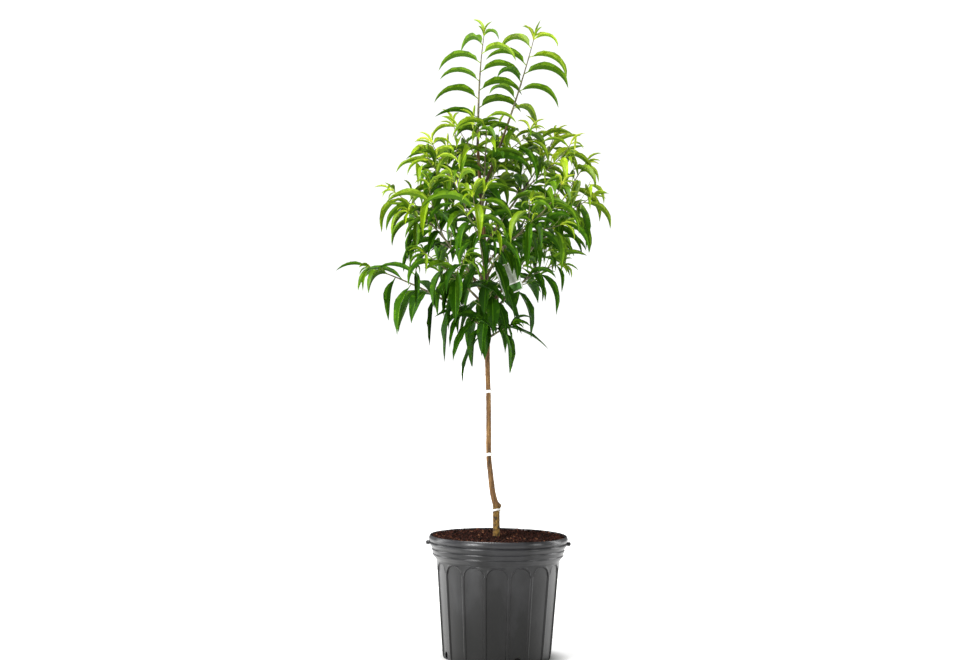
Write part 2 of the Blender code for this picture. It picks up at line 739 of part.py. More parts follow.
# Leaves
def leaf_spine(leaf):
    """Points along a leaf's midrib, each with its heading, its blade's up and its across."""
    made = []
    point = leaf.root.copy()
    step = leaf.length / LEAF_STEPS
    for i in range(LEAF_STEPS + 1):
        share = i / LEAF_STEPS
        rise = max(leaf.lift - leaf.bend * share**1.25, LEAF_STEEPEST)
        azimuth = leaf.azimuth + leaf.sickle * share * share
        forward = heading(azimuth, rise)
        up = heading(azimuth, rise + 90.0)
        across = forward.cross(up)
        roll = math.radians(leaf.roll * (0.4 + 0.6 * share))
        tilted = across * math.cos(roll) + up * math.sin(roll)
        made.append((point.copy(), forward, tilted.cross(forward), tilted))
        point += forward * step
    return made


def leaf_loops(leaf, spare=0.0, start=0.0):
    """A leaf's three-cornered sections and its tip."""
    spine = leaf_spine(leaf)
    loops = []
    for share, wide in LEAF_STATIONS:
        share = max(share, start)
        point, forward, up, across = spine[round(share * LEAF_STEPS)]
        half = max(leaf.width * wide, leaf.stem * LEAF_ROOT_SHARE)
        lift = LEAF_FOLD * (half if wide else 0.5 * half) + spare
        keel = (LEAF_KEEL if wide else 0.5 * half) + spare
        loops.append((
            point + across * (half + spare) + up * lift,
            point - across * (half + spare) + up * lift,
            point - up * keel,
        ))
    return loops, spine[-1][0] + spine[-1][1] * spare


def leaf_faces(bm, leaf, spare=0.0, start=0.0):
    """Add a leaf's closed body to a bmesh."""
    loops, tip = leaf_loops(leaf, spare, start)
    rings = [ring(bm, loop) for loop in loops]
    for lower, upper in zip(rings, rings[1:]):
        zip_rings(bm, lower, upper)
    bm.faces.new(rings[0])
    point = bm.verts.new(tip)
    for a, b in zip(rings[-1], rings[-1][1:] + rings[-1][:1]):
        bm.faces.new((a, b, point))


def inside_crown(leaf):
    """Whether the whole midrib stays within the crown's reach."""
    for point, *_ in leaf_spine(leaf):
        if not LEFT_LIMIT <= point.x <= RIGHT_LIMIT or not LOW_LIMIT <= point.z <= TOP_LIMIT:
            return False
        if abs(point.y) > DEPTH_LIMIT:
            return False
    return True


class Space:
    """The bodies that hold their places, each with its box and owner, so that later ones keep clear."""

    def __init__(self):
        self.lows, self.highs, self.trees, self.owners = [], [], [], []

    def add_mesh(self, thing, owner):
        """Keep an object's place."""
        bm = bmesh.new()
        bm.from_mesh(thing.data)
        self.add(bm, owner)

    def add(self, bm, owner):
        """Keep a bmesh's place, and free it."""
        corners = np.array([v.co for v in bm.verts])
        self.lows.append(corners.min(axis=0))
        self.highs.append(corners.max(axis=0))
        self.trees.append(BVHTree.FromBMesh(bm))
        self.owners.append(owner)
        bm.free()

    def is_clear(self, whole, outer, owner):
        """Whether a whole leaf touches no other owner's body, and its outer part none of its owner's."""
        corners = np.array([v.co for v in whole.verts])
        low, high = corners.min(axis=0), corners.max(axis=0)
        near = np.all((np.array(self.lows) <= high) & (np.array(self.highs) >= low), axis=1)
        trees = {True: BVHTree.FromBMesh(outer), False: BVHTree.FromBMesh(whole)}
        return not any(trees[self.owners[i] == owner].overlap(self.trees[i]) for i in np.flatnonzero(near))


def make_leaf(rng, point, frame, phase, behind, stem_radius, slack):
    """A leaf some way behind its shoot's tip: young ones arch out, old and low ones hang."""
    tangent, side, other = frame
    angle = math.radians(phase + rng.uniform(-STRAY_ROUND, STRAY_ROUND) * (1 + slack))
    out = side * math.cos(angle) + other * math.sin(angle)
    opening = math.radians(LEAF_ANGLE + rng.uniform(-STRAY_OPENING, STRAY_OPENING))
    forward = out * math.sin(opening) + tangent * math.cos(opening)
    azimuth = math.degrees(math.atan2(forward.y, forward.x))
    rise = math.degrees(math.asin(max(-1.0, min(1.0, forward.z))))
    age = min(1.0, behind / LEAF_OLD_AFTER)
    hanging = age * min(1.0, max(0.0, (HANGING_BELOW - point.z) / HANGING_DEPTH))
    lift = min(rise, LEAF_HIGHEST) - LEAF_LEAST_HANG - LEAF_HANG * hanging
    lift += rng.uniform(-STRAY_LIFT, STRAY_LIFT) * (1 + slack)
    bend = LEAF_YOUNG_BEND + LEAF_AGED_BEND * age + LEAF_HANGING_BEND * hanging
    bend += rng.uniform(-STRAY_BEND, STRAY_BEND)
    grown = min(1.0, behind / LEAF_GROWN_AFTER)
    length = LEAF_YOUNG_LENGTH + (LEAF_GROWN_LENGTH - LEAF_YOUNG_LENGTH) * grown
    length += (LEAF_OLD_LENGTH - LEAF_GROWN_LENGTH) * hanging
    length *= rng.uniform(0.88, 1.08) * (1 - 0.05 * slack)
    width = length * LEAF_WIDTH_SHARE * rng.uniform(0.9, 1.1) * (0.8 + 0.2 * grown)
    roll = rng.uniform(-STRAY_ROLL, STRAY_ROLL)
    sickle = rng.uniform(-STRAY_SICKLE, STRAY_SICKLE)
    return Leaf(point, azimuth, lift, bend, length, width, roll, sickle, age, stem_radius)


def stem_leaves(stem, space, owner):
    """The leaves of one stem: they turn round it by the same angle, and any that touches is skipped."""
    total = line_length(stem.points)
    count = max(2, round((total - LEAF_MARGIN) / LEAF_SPACING))
    nodes = resample(stem.points, total / 200)
    around = frames(nodes)
    phase = stem.phase
    made = []
    for number in range(count):
        rng = random.Random(f"{SEED}-{stem.name}-{number}")
        share = (LEAF_MARGIN + (total - LEAF_MARGIN) * (number + 0.5) / count) / total
        index = min(round(share * (len(nodes) - 1)), len(nodes) - 2)
        radius = stem.radii[0] + (stem.radii[-1] - stem.radii[0]) * share
        behind = total * (1 - share)
        phase += stem.turn
        for attempt in range(LEAF_TRIES):
            leaf = make_leaf(rng, nodes[index], around[index], phase, behind, radius, attempt)
            if keep_leaf(leaf, space, owner):
                made.append(leaf)
                break
    tip = tip_leaf(stem, nodes, around)
    if keep_leaf(tip, space, owner):
        made.append(tip)
    return made


def tip_leaf(stem, nodes, around):
    """The youngest leaf, which goes on from the stem's end."""
    tangent = around[-2][0]
    azimuth = math.degrees(math.atan2(tangent.y, tangent.x))
    rise = math.degrees(math.asin(tangent.z))
    length = TIP_LEAF_LENGTH.get(stem.name, TIP_LEAF_DEFAULT)
    bend = TIP_LEAF_BEND.get(stem.name, TIP_BEND_DEFAULT)
    width = length * TIP_LEAF_WIDTH_SHARE
    return Leaf(nodes[-3], azimuth, rise, bend, length, width, 0.0, 0.0, 0.0, TIP_RADIUS)


def keep_leaf(leaf, space, owner):
    """Keep a leaf's place if it stays in the crown and touches nothing."""
    if not inside_crown(leaf):
        return False
    whole, outer = bmesh.new(), bmesh.new()
    leaf_faces(whole, leaf, LEAF_TEST_SPARE)
    leaf_faces(outer, leaf, LEAF_TEST_SPARE, LEAF_TEST_START)
    clear = space.is_clear(whole, outer, owner)
    outer.free()
    if clear:
        space.add(whole, owner)
    else:
        whole.free()
    return clear


def fuse(base, others):
    """Join other objects to a base by one union, and remove them."""
    group = bpy.data.collections.new("joined")
    for thing in others:
        group.objects.link(thing)
    boolean(base, "UNION", group=group)
    remove(others)
    bpy.data.collections.remove(group)


def keep_largest(made):
    """Drop any loose scrap that the union left."""
    bm = bmesh.new()
    bm.from_mesh(made.data)
    left = set(bm.verts)
    groups = []
    while left:
        found, edge = set(), [left.pop()]
        while edge:
            vert = edge.pop()
            found.add(vert)
            for link in vert.link_edges:
                other = link.other_vert(vert)
                if other in left:
                    left.discard(other)
                    edge.append(other)
        groups.append(found)
    groups.sort(key=len, reverse=True)
    scrap = [v for group in groups[1:] for v in group]
    bmesh.ops.delete(bm, geom=scrap, context="VERTS")
    bmesh.ops.triangulate(bm, faces=bm.faces)
    bm.to_mesh(made.data)
    bm.free()


def stem_body(name, stem, look, from_bough):
    """A three-sided stem; one on a bough starts a gap past the bough's tip."""
    points = resample(stem.points, TWIG_STEP)
    radii = tapered(points, stem.radii[0], stem.radii[-1])
    if from_bough:
        tangent = (points[1] - points[0]).normalized()
        points[0] = points[0] + tangent * GAP
    return limb(name, points, radii, TWIG_SIDES, look)


def foliage(row, stems, leaves, cutter, look):
    """One mass of leaves: its stem, side shoots and leaves joined to one solid."""
    bodies = [stem_body(f"stem_{i}", s, look, i == 0 and not s.on_trunk) for i, s in enumerate(stems)]
    made, parts = bodies[0], bodies[1:]
    made.name = f"leaves_{row.name}"
    for group in leaves:
        for leaf in group:
            bm = bmesh.new()
            leaf_faces(bm, leaf)
            parts.append(smooth_object("leaf", bm, look))
    fuse(made, parts)
    if stems[0].on_trunk:
        boolean(made, "DIFFERENCE", other=cutter)
    keep_largest(made)
    return made


def bough(row, line, radii, cutter, look):
    """One bare limb from the trunk to where it enters its mass."""
    points = resample(line, BOUGH_STEP)
    sizes = tapered(points, radii[0] / COLLAR, radii[-1], collar=True)
    made = limb(f"bough_{row.name}", points, sizes, BOUGH_SIDES, look)
    boolean(made, "DIFFERENCE", other=cutter)
    keep_largest(made)
    return made


def build():
    """Make every sub-part."""
    clear_scene()
    black = material("black_plastic", (0.062, 0.063, 0.065), 0.42)
    earth = material("potting_soil", (0.045, 0.026, 0.017), 0.95)
    bark = material("bark", (0.130, 0.078, 0.045), 0.85)
    white = material("white_plastic", (0.80, 0.80, 0.78), 0.45)
    green = material("leaf_green", (0.085, 0.230, 0.030), 0.50)
    pot(black)
    soil(earth)
    trunk = trunk_body("trunk", bark)
    cutter = trunk_body("trunk_cutter", bark, spare=GAP)
    cutter.hide_render = True
    cutter.display_type = "WIRE"
    space = Space()
    space.add_mesh(trunk, "trunk")
    for number, height in enumerate(TIE_HEIGHTS, 1):
        tie(number, height, white)
    space.add_mesh(tag(white), "label")
    plan = [(row, *stems_of(row)) for row in BRANCHES]
    for row, limb_line, stems in plan:
        if limb_line:
            space.add_mesh(bough(row, *limb_line, cutter, bark), "bough")
    for row, limb_line, stems in plan:
        for number, stem in enumerate(stems):
            guide = stem_body("guide", stem, green, number == 0 and not stem.on_trunk)
            space.add_mesh(guide, row.name)
            remove([guide])
    total = 0
    for row, limb_line, stems in plan:
        leaves = [stem_leaves(stem, space, row.name) for stem in stems]
        made = foliage(row, stems, leaves, cutter, green)
        total += sum(map(len, leaves))
        print(row.name, sum(map(len, leaves)), "leaves", len(made.data.polygons), "faces")
    remove([cutter])
    print("leaves in all", total)


build()
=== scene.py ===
# %% [markdown]
# This lesson dresses a young dwarf peach tree that stands in a black nursery pot. The packed
# model gives the frame: every limb, every mass of leaves, the pot, the soil, three white ties
# and a plain label are already there as plain solids in metres, with the pot's underside at
# zero height. The script leaves those solids where they are and puts finished surfaces round
# them, so the first step is to load the frame and to note the box that it fills.

# %% Load the frame
import math
import random
from collections import namedtuple

import bpy
import numpy as np
from mathutils import Matrix, Vector, noise
from mathutils.bvhtree import BVHTree


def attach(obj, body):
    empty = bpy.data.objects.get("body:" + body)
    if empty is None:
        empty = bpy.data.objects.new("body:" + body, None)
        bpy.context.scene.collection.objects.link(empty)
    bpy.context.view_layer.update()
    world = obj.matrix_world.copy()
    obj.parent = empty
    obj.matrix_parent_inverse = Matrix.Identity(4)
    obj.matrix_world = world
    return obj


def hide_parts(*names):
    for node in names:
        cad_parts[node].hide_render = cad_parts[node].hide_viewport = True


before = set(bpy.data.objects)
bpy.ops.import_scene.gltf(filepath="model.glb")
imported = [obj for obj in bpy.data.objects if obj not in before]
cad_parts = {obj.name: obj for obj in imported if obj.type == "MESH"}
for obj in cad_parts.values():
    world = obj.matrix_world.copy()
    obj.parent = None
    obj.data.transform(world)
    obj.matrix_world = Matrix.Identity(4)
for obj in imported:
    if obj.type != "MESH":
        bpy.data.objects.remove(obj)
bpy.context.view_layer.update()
bpy.ops.object.select_all(action="DESELECT")

# %% [markdown]
# The camera comes first, because everything is judged through it. The photograph was taken
# from well back and almost level, so a long lens stands nearly four metres away, at about the
# height of the lowest leaves. The frame leans by less than a degree, as a hand-held one does.

# %% Place the camera
EYE = Vector((-0.0387, -3.7650, 0.6570))
LENS = 70.0
SENSOR = 36.0
LEAN = math.radians(0.8)

camera_data = bpy.data.cameras.new("camera")
camera_data.lens = LENS
camera_data.sensor_width = SENSOR
camera = bpy.data.objects.new("camera", camera_data)
bpy.context.scene.collection.objects.link(camera)
camera.matrix_world = (
    Matrix.Translation(EYE) @ Matrix.Rotation(math.pi / 2, 4, "X") @ Matrix.Rotation(LEAN, 4, "Z")
)
bpy.context.scene.camera = camera
print("camera at", tuple(round(v, 3) for v in EYE), "with a", LENS, "mm lens")

# %% [markdown]
# Colours are easiest to choose as the screen shows them, and a shader wants them as plain
# light. One small function turns a screen colour into a shader colour. A second one starts a
# material and returns its shader, and a third adds a node and wires it up. The rest are steps
# that several finishes share, so that each finish further down is a few readable lines.

# %% Small helpers for materials
SCREEN_KNEE = 0.04045
SCREEN_SLOPE = 12.92
SCREEN_LIFT = 0.055
SCREEN_POWER = 2.4


def light_of(screen):
    """A shader colour from a six-digit screen colour."""
    shares = [int(screen[i : i + 2], 16) / 255 for i in (0, 2, 4)]
    bent = [((s + SCREEN_LIFT) / (1 + SCREEN_LIFT)) ** SCREEN_POWER for s in shares]
    return tuple(s / SCREEN_SLOPE if s <= SCREEN_KNEE else b for s, b in zip(shares, bent)) + (1.0,)


def new_finish(name, screen, roughness):
    """A new material with its Principled shader, in one plain colour."""
    made = bpy.data.materials.new(name)
    made.use_nodes = True
    shader = made.node_tree.nodes["Principled BSDF"]
    shader.inputs["Base Color"].default_value = light_of(screen)
    shader.inputs["Roughness"].default_value = roughness
    made.diffuse_color = light_of(screen)
    return made, shader


def node(material, kind, values=(), **links):
    """A node of one kind, with settings, plain values and links from other sockets."""
    tree = material.node_tree
    made = tree.nodes.new(kind)
    for name, value in dict(values).items():
        if name in made.inputs:
            made.inputs[name].default_value = value
        else:
            setattr(made, name, value)
    for name, socket in links.items():
        tree.links.new(socket, made.inputs[name.replace("_", " ")])
    return made


def feed(material, socket, target, name):
    """Link a socket to one of another node's inputs, by its name or number."""
    material.node_tree.links.new(socket, target.inputs[name])


def combined(material, operation, *sockets):
    """The sum or the product of two sockets."""
    made = node(material, "ShaderNodeMath", {"operation": operation})
    for i, socket in enumerate(sockets):
        feed(material, socket, made, i)
    return made.outputs[0]


def own_place(material, axis=None):
    """The piece's own coordinates, or one axis of them."""
    place = node(material, "ShaderNodeTexCoord").outputs["Object"]
    if axis:
        place = node(material, "ShaderNodeSeparateXYZ", Vector=place).outputs[axis]
    return place


def ramp(material, factor, stops):
    """A colour ramp from a factor socket, with (position, screen colour) stops."""
    made = node(material, "ShaderNodeValToRGB", Fac=factor)
    bar = made.color_ramp
    for i, (position, screen) in enumerate(stops):
        stop = bar.elements[i] if i < 2 else bar.elements.new(position)
        stop.position = position
        stop.color = light_of(screen)
    return made.outputs["Color"]


def grain(material, scale, detail, stretch=(1.0, 1.0, 1.0)):
    """Noise on the piece's own coordinates, stretched along its axes."""
    mapped = node(material, "ShaderNodeMapping", {"Scale": stretch}, Vector=own_place(material))
    made = node(material, "ShaderNodeTexNoise", {"Scale": scale, "Detail": detail}, Vector=mapped.outputs[0])
    return made.outputs["Fac"]


def bump(material, shader, height, strength, distance):
    """Fine relief on a shader from a height socket."""
    made = node(material, "ShaderNodeBump", {"Strength": strength, "Distance": distance}, Height=height)
    feed(material, made.outputs["Normal"], shader, "Normal")


def grained(name, screen, roughness, scale, detail, stops):
    """A new material whose colour runs through a few tones with a grain."""
    made, shader = new_finish(name, screen, roughness)
    feed(made, ramp(made, grain(made, scale, detail), stops), shader, "Base Color")
    return made, shader


def shine(value, *shaders):
    """Set how strongly some shaders reflect."""
    for shader in shaders:
        shader.inputs["Specular IOR Level"].default_value = value


def dress(thing, *finishes):
    """Give a piece its finishes in place of any that it has."""
    thing.data.materials.clear()
    for finish in finishes:
        thing.data.materials.append(finish)


print("helpers ready")

# %% [markdown]
# The tree stands on a plain pale floor under soft studio light. A broad lamp overhead, a
# little to the left and in front, brightens the upper side of each leaf. Five weaker lamps round
# the sides shape the pot, and a white sky fills the shadows. The sky that the lens sees is
# brighter than the one that lights the tree. The floor gives off a little light away from the
# pot and behind it, so that it stays pale and keeps a soft shade only round the foot.

# %% Floor and light
FLOOR_SIZE = 60.0
GLOW_NEAR = 0.72
GLOW_NEAR_REACH = (0.108, 0.152)
GLOW_BEHIND = (-0.13, -0.03)
GLOW_FAR = 0.95
GLOW_FAR_REACH = (0.4, 1.8)
SKY_LIGHT = 0.26
SKY_SEEN = 1.10
Lamp = namedtuple("Lamp", "name power width depth place aim")
LAMPS = tuple(Lamp(*row) for row in (
    ("overhead", 138.0, 1.5, 1.5, Vector((-0.80, -0.55, 3.10)), Vector((0.0, 0.0, 0.80))),
    ("front", 40.0, 0.5, 0.8, Vector((-1.60, -1.75, 1.05)), Vector((0.0, 0.0, 0.30))),
    ("low", 11.0, 0.30, 0.60, Vector((-1.50, -1.55, 0.34)), Vector((0.0, 0.0, 0.15))),
    ("fill", 12.0, 0.4, 0.8, Vector((2.00, -0.95, 0.95)), Vector((0.0, 0.0, 0.30))),
    ("left", 9.5, 0.35, 1.1, Vector((-1.50, 0.55, 0.65)), Vector((0.0, 0.0, 0.40))),
    ("right", 9.5, 0.35, 1.1, Vector((1.50, 0.55, 0.65)), Vector((0.0, 0.0, 0.40))),
))

bpy.ops.mesh.primitive_plane_add(size=FLOOR_SIZE, location=(0, 0, 0))
floor = bpy.context.object
floor.name = "floor"
floor_finish, floor_shader = new_finish("floor_white", "c8c8c6", 0.9)
floor_shader.inputs["Emission Color"].default_value = (1, 1, 1, 1)
away = node(floor_finish, "ShaderNodeVectorMath", {"operation": "LENGTH"})
feed(floor_finish, own_place(floor_finish), away, 0)
distance = away.outputs["Value"]
back = own_place(floor_finish, "Y")
rings_of_glow = []
for measured, reach, most in (
    (distance, GLOW_NEAR_REACH, GLOW_NEAR), (distance, GLOW_FAR_REACH, GLOW_FAR), (back, GLOW_BEHIND, 1.0),
):
    span = {"From Min": reach[0], "From Max": reach[1], "To Min": 0.0, "To Max": most}
    rings_of_glow.append(node(floor_finish, "ShaderNodeMapRange", span, Value=measured).outputs["Result"])
near_glow, far_glow, glow_behind = rings_of_glow
near_glow = combined(floor_finish, "MULTIPLY", near_glow, glow_behind)
glow = combined(floor_finish, "ADD", near_glow, far_glow)
feed(floor_finish, glow, floor_shader, "Emission Strength")
dress(floor, floor_finish)
floor.select_set(False)

world = bpy.data.worlds.new("sky")
bpy.context.scene.world = world
world.use_nodes = True
sky = world.node_tree
lit = sky.nodes["Background"]
lit.inputs["Color"].default_value = (1, 1, 1, 1)
lit.inputs["Strength"].default_value = SKY_LIGHT
seen = sky.nodes.new("ShaderNodeBackground")
seen.inputs["Strength"].default_value = SKY_SEEN
seen.inputs["Color"].default_value = (1, 1, 1, 1)
rays = sky.nodes.new("ShaderNodeLightPath")
choice = sky.nodes.new("ShaderNodeMixShader")
sky.links.new(rays.outputs["Is Camera Ray"], choice.inputs["Fac"])
sky.links.new(lit.outputs[0], choice.inputs[1])
sky.links.new(seen.outputs[0], choice.inputs[2])
sky.links.new(choice.outputs[0], sky.nodes["World Output"].inputs["Surface"])

for row in LAMPS:
    data = bpy.data.lights.new(row.name, "AREA")
    data.energy = row.power
    data.shape = "RECTANGLE"
    data.size = row.width
    data.size_y = row.depth
    lamp = bpy.data.objects.new(row.name, data)
    bpy.context.scene.collection.objects.link(lamp)
    turned_to = (row.aim - row.place).to_track_quat("-Z", "Y").to_matrix().to_4x4()
    lamp.matrix_world = Matrix.Translation(row.place) @ turned_to
bpy.context.scene.view_settings.view_transform = "Standard"
print("floor", FLOOR_SIZE, "m wide, sky", SKY_LIGHT, "and", len(LAMPS), "lamps")

# %% [markdown]
# A nursery pot is blow-moulded: one thin black wall with sixteen shallow arched panels, a
# stepped shoulder, a rolled lip and a small lug at each side. It could be modelled as a plain
# turned shape with the panels in a bump map, but the ribs catch the light along their edges, so
# they are real relief here. By hand that starts from a circle at the foot, which is extruded
# ring by ring up the wall, over the lip and down inside to the floor. Each ring's vertices are
# then slid along the ring to the ribs' edges, and the panels are pushed in.

# %% Pot sizes
POT_HEIGHT = 0.246
BASE_RADIUS = 0.109
SHOULDER_RADIUS = 0.1236
SHOULDER_DROP = 0.052
FOOT_INSET = 0.0042
FOOT_RISE = 0.0070
WALL = 0.0024
POT_FLOOR = 0.003
FLUTES = 16
RIB_TURN = math.radians(10.1)
PANEL_RECESS = 0.0016
PANEL_FLATNESS = 0.45
ARCH_RISE = 0.018
ARCH_TOP = POT_HEIGHT - 0.0535
PANEL_EDGE = 0.425
RIB_EDGE = 0.445
SIDE_COLUMNS = (
    0.0, 0.10, 0.20, 0.29, 0.35, 0.39, 0.412, 0.425, 0.430, 0.435, 0.440, 0.445, 0.454, 0.465, 0.478,
)
RIB_BEAD = 0.0008
WALL_ROWS = 28
EDGE_ROWS = 4
ABOVE_ROWS = 6
ABOVE_CROWDING = 1.7
ARCH_BAND = 0.0007
ARCH_BEAD = 0.0006
BEAD_REACH = 0.0016
BEAD_SHAPE = 2.7
FOOT_RINGS = 5
FOOT_STEP = math.pi / 8
INSIDE_MIDDLE = 0.10
FLOOR_RINGS = (0.06, 0.02)
RING_PLACES = 5
# The rim's outer profile from the shoulder to the lip, as drops below the top and radii
RIM_PROFILE = (
    (0.0520, 0.1236), (0.0500, 0.1238), (0.0480, 0.1246), (0.0462, 0.1262), (0.0440, 0.1282),
    (0.0427, 0.1289), (0.0421, 0.1295), (0.0414, 0.1303), (0.0404, 0.1308), (0.0398, 0.1314),
    (0.0392, 0.1319), (0.0382, 0.1321), (0.0372, 0.1319), (0.0366, 0.1314), (0.0358, 0.1312),
    (0.0342, 0.1317), (0.0326, 0.1324), (0.0310, 0.1332), (0.0300, 0.1337), (0.0288, 0.1339),
    (0.0276, 0.1338), (0.0268, 0.1334), (0.0260, 0.1329), (0.0252, 0.1331), (0.0245, 0.1338),
    (0.0236, 0.1345), (0.0220, 0.1357), (0.0205, 0.1368), (0.0194, 0.1378), (0.0182, 0.1385),
    (0.0168, 0.1387), (0.0154, 0.1384), (0.0145, 0.1378), (0.0138, 0.1370), (0.0130, 0.1367),
    (0.0124, 0.1373), (0.0119, 0.1385), (0.0111, 0.1393), (0.0098, 0.1398), (0.0082, 0.1400),
    (0.0066, 0.1399), (0.0051, 0.1396), (0.0037, 0.1391), (0.0025, 0.1385), (0.0014, 0.1379),
    (0.0005, 0.1373), (0.0001, 0.1367), (0.0004, 0.1362), (0.0014, 0.1359), (0.0060, 0.1352),
    (0.0150, 0.1330), (0.0330, 0.1290),
)


def wall_radius(height):
    """The wall's radius on a rib."""
    return BASE_RADIUS + (SHOULDER_RADIUS - BASE_RADIUS) * height / (POT_HEIGHT - SHOULDER_DROP)


def smooth_step(low, high, value):
    """A soft rise from nought to one between two values."""
    share = min(max((value - low) / (high - low), 0.0), 1.0)
    return share * share * (3 - 2 * share)


def arch_height(share):
    """The height of a panel's arched top at a share of the way across it."""
    across = min(abs(share) / PANEL_EDGE, 1.0)
    return ARCH_TOP - ARCH_RISE * (1 - math.sqrt(1 - across * across))


columns = sorted({-s for s in SIDE_COLUMNS} | set(SIDE_COLUMNS)) + [0.5]
print("the wall has", FLUTES * len(columns), "columns of vertices")

# %% [markdown]
# The rings of the wall have to follow the arches, so a ring is only a number at first: rows
# up to the arch, four close rows across its edge, and a few rows above it. Once all rings are
# extruded, one function gives each vertex of the wall its real height and depth.

# %% Extrude the pot ring by ring


def primitive(add, **settings):
    """A new piece from one of Blender's primitives, with nothing else selected."""
    bpy.ops.object.select_all(action="DESELECT")
    add(**settings)
    return bpy.context.object


def mode(name):
    """Go into edit mode or back to object mode."""
    bpy.ops.object.mode_set(mode=name)


def select_only(thing):
    """Make one object the selected and active one."""
    bpy.ops.object.select_all(action="DESELECT")
    thing.select_set(True)
    bpy.context.view_layer.objects.active = thing


def extrude_rings(rings):
    """Extrude the selected loop through a list of (radius, height) rings."""
    for (radius, height), (wider, higher) in zip(rings, rings[1:]):
        bpy.ops.mesh.extrude_region_move(TRANSFORM_OT_translate={"value": (0, 0, higher - height)})
        scale = wider / radius
        bpy.ops.transform.resize(value=(scale, scale, 1), center_override=(0, 0, higher))


def close_ring():
    """Close the selected loop with a fan of triangles round its middle."""
    bpy.ops.mesh.extrude_region_move(TRANSFORM_OT_translate={"value": (0, 0, 0)})
    bpy.ops.mesh.merge(type="CENTER")


def turned(name, count, rings):
    """A turned body: a circle extruded through its rings and closed at both ends."""
    radius, height = rings[0]
    made = primitive(
        bpy.ops.mesh.primitive_circle_add, vertices=count, radius=radius, location=(0, 0, height)
    )
    made.name = name
    bpy.ops.object.transform_apply(location=True, rotation=False, scale=False)
    mode("EDIT")
    bpy.ops.mesh.select_all(action="SELECT")
    close_ring()
    mode("OBJECT")
    for vert in made.data.vertices:
        vert.select = vert.co.xy.length > radius / 2
    mode("EDIT")
    bpy.ops.mesh.select_mode(type="VERT")
    extrude_rings(rings)
    close_ring()
    bpy.ops.mesh.select_all(action="SELECT")
    bpy.ops.mesh.normals_make_consistent(inside=False)
    mode("OBJECT")
    made.data.name = name
    return made


def pot_rings():
    """The pot's rings: foot, wall rows, rim, and the inside down to the floor."""
    foot = []
    for turn in range(FOOT_RINGS):
        angle = FOOT_STEP * turn
        height = FOOT_RISE * (1 - math.cos(angle))
        foot.append((wall_radius(height) - FOOT_INSET * (1 - math.sin(angle)), height))
    top = POT_HEIGHT - SHOULDER_DROP
    wall = [FOOT_RISE + (top - FOOT_RISE) * i / (WALL_ROWS + 1) for i in range(1, WALL_ROWS + 1)]
    rings = foot + [(wall_radius(z), z) for z in wall]
    rings += [(radius, POT_HEIGHT - drop) for drop, radius in RIM_PROFILE]
    rings += [(wall_radius(z) - PANEL_RECESS - WALL, z) for z in (top, INSIDE_MIDDLE, POT_FLOOR)]
    rings += [(radius, POT_FLOOR) for radius in FLOOR_RINGS]
    return rings, len(foot), len(foot) + len(wall)


def rib_bead(share):
    """How far a rib's rounded crown stands out at a share of the way from panel to panel."""
    across = min(max((abs(share) - RIB_EDGE) / (0.5 - RIB_EDGE), 0.0), 1.0)
    return RIB_BEAD * (1 - (1 - across) ** 2)


def wall_place(row, share):
    """A wall vertex's height, how far its panel is pushed in and how far its bead stands out."""
    arch = arch_height(share)
    below = WALL_ROWS - EDGE_ROWS - ABOVE_ROWS
    top = POT_HEIGHT - SHOULDER_DROP
    side = smooth_step(PANEL_EDGE, RIB_EDGE, abs(share))
    if row < below:
        height = FOOT_RISE + (arch - ARCH_BAND - FOOT_RISE) * (row + 1) / below
        return height, 1.0 - side, rib_bead(share)
    if row < below + EDGE_ROWS:
        step = (row - below + 1) / (EDGE_ROWS + 1)
        height = arch - ARCH_BAND + 2 * ARCH_BAND * step
        return height, (1.0 - smooth_step(0.0, 1.0, step)) * (1.0 - side), rib_bead(share)
    step = (row - below - EDGE_ROWS + 1) / (ABOVE_ROWS + 1)
    height = arch + ARCH_BAND + (top - arch - ARCH_BAND) * step**ABOVE_CROWDING
    over = (height - arch - ARCH_BAND) / BEAD_REACH
    bead = ARCH_BEAD * BEAD_SHAPE * over * math.exp(-over) * (1 - side) + rib_bead(share) * (1 - step) ** 2
    return height, 0.0, bead


def press_panels(thing, count, first, last):
    """Slide every ring's vertices to the ribs' edges and push the panels in."""
    pitch = 2 * math.pi / FLUTES
    start = RIB_TURN - math.pi / 2 + pitch / 2
    half = pitch * PANEL_EDGE
    co = np.empty(len(thing.data.vertices) * 3)
    thing.data.vertices.foreach_get("co", co)
    co = co.reshape(-1, 3)
    rings = {}
    for i, (x, y, z) in enumerate(co):
        rings.setdefault((round(math.hypot(x, y), RING_PLACES), round(z, RING_PLACES)), []).append(i)
    order = {(round(r, RING_PLACES), round(z, RING_PLACES)): n for n, (r, z) in enumerate(pot_rings()[0])}
    for place, members in rings.items():
        if place not in order or len(members) != count:
            continue
        number = order[place]
        members.sort(key=lambda i: math.atan2(co[i][1], co[i][0]) % (2 * math.pi))
        for k, i in enumerate(members):
            flute, column = divmod(k, len(columns))
            share = columns[column]
            angle = start + (flute + share) * pitch
            radius, height = place
            if number < first:
                radius -= PANEL_RECESS * (1 - smooth_step(PANEL_EDGE, RIB_EDGE, abs(share)))
            elif number < last:
                height, depth, bead = wall_place(number - first, share)
                radius = wall_radius(height) - PANEL_RECESS * depth + bead
                flat = math.cos(half) / math.cos(share * pitch) - 1
                radius *= 1 + PANEL_FLATNESS * depth * (flat if abs(share) < PANEL_EDGE else 0.0)
            co[i] = (radius * math.cos(angle), radius * math.sin(angle), height)
    thing.data.vertices.foreach_set("co", co.ravel())
    thing.data.update()


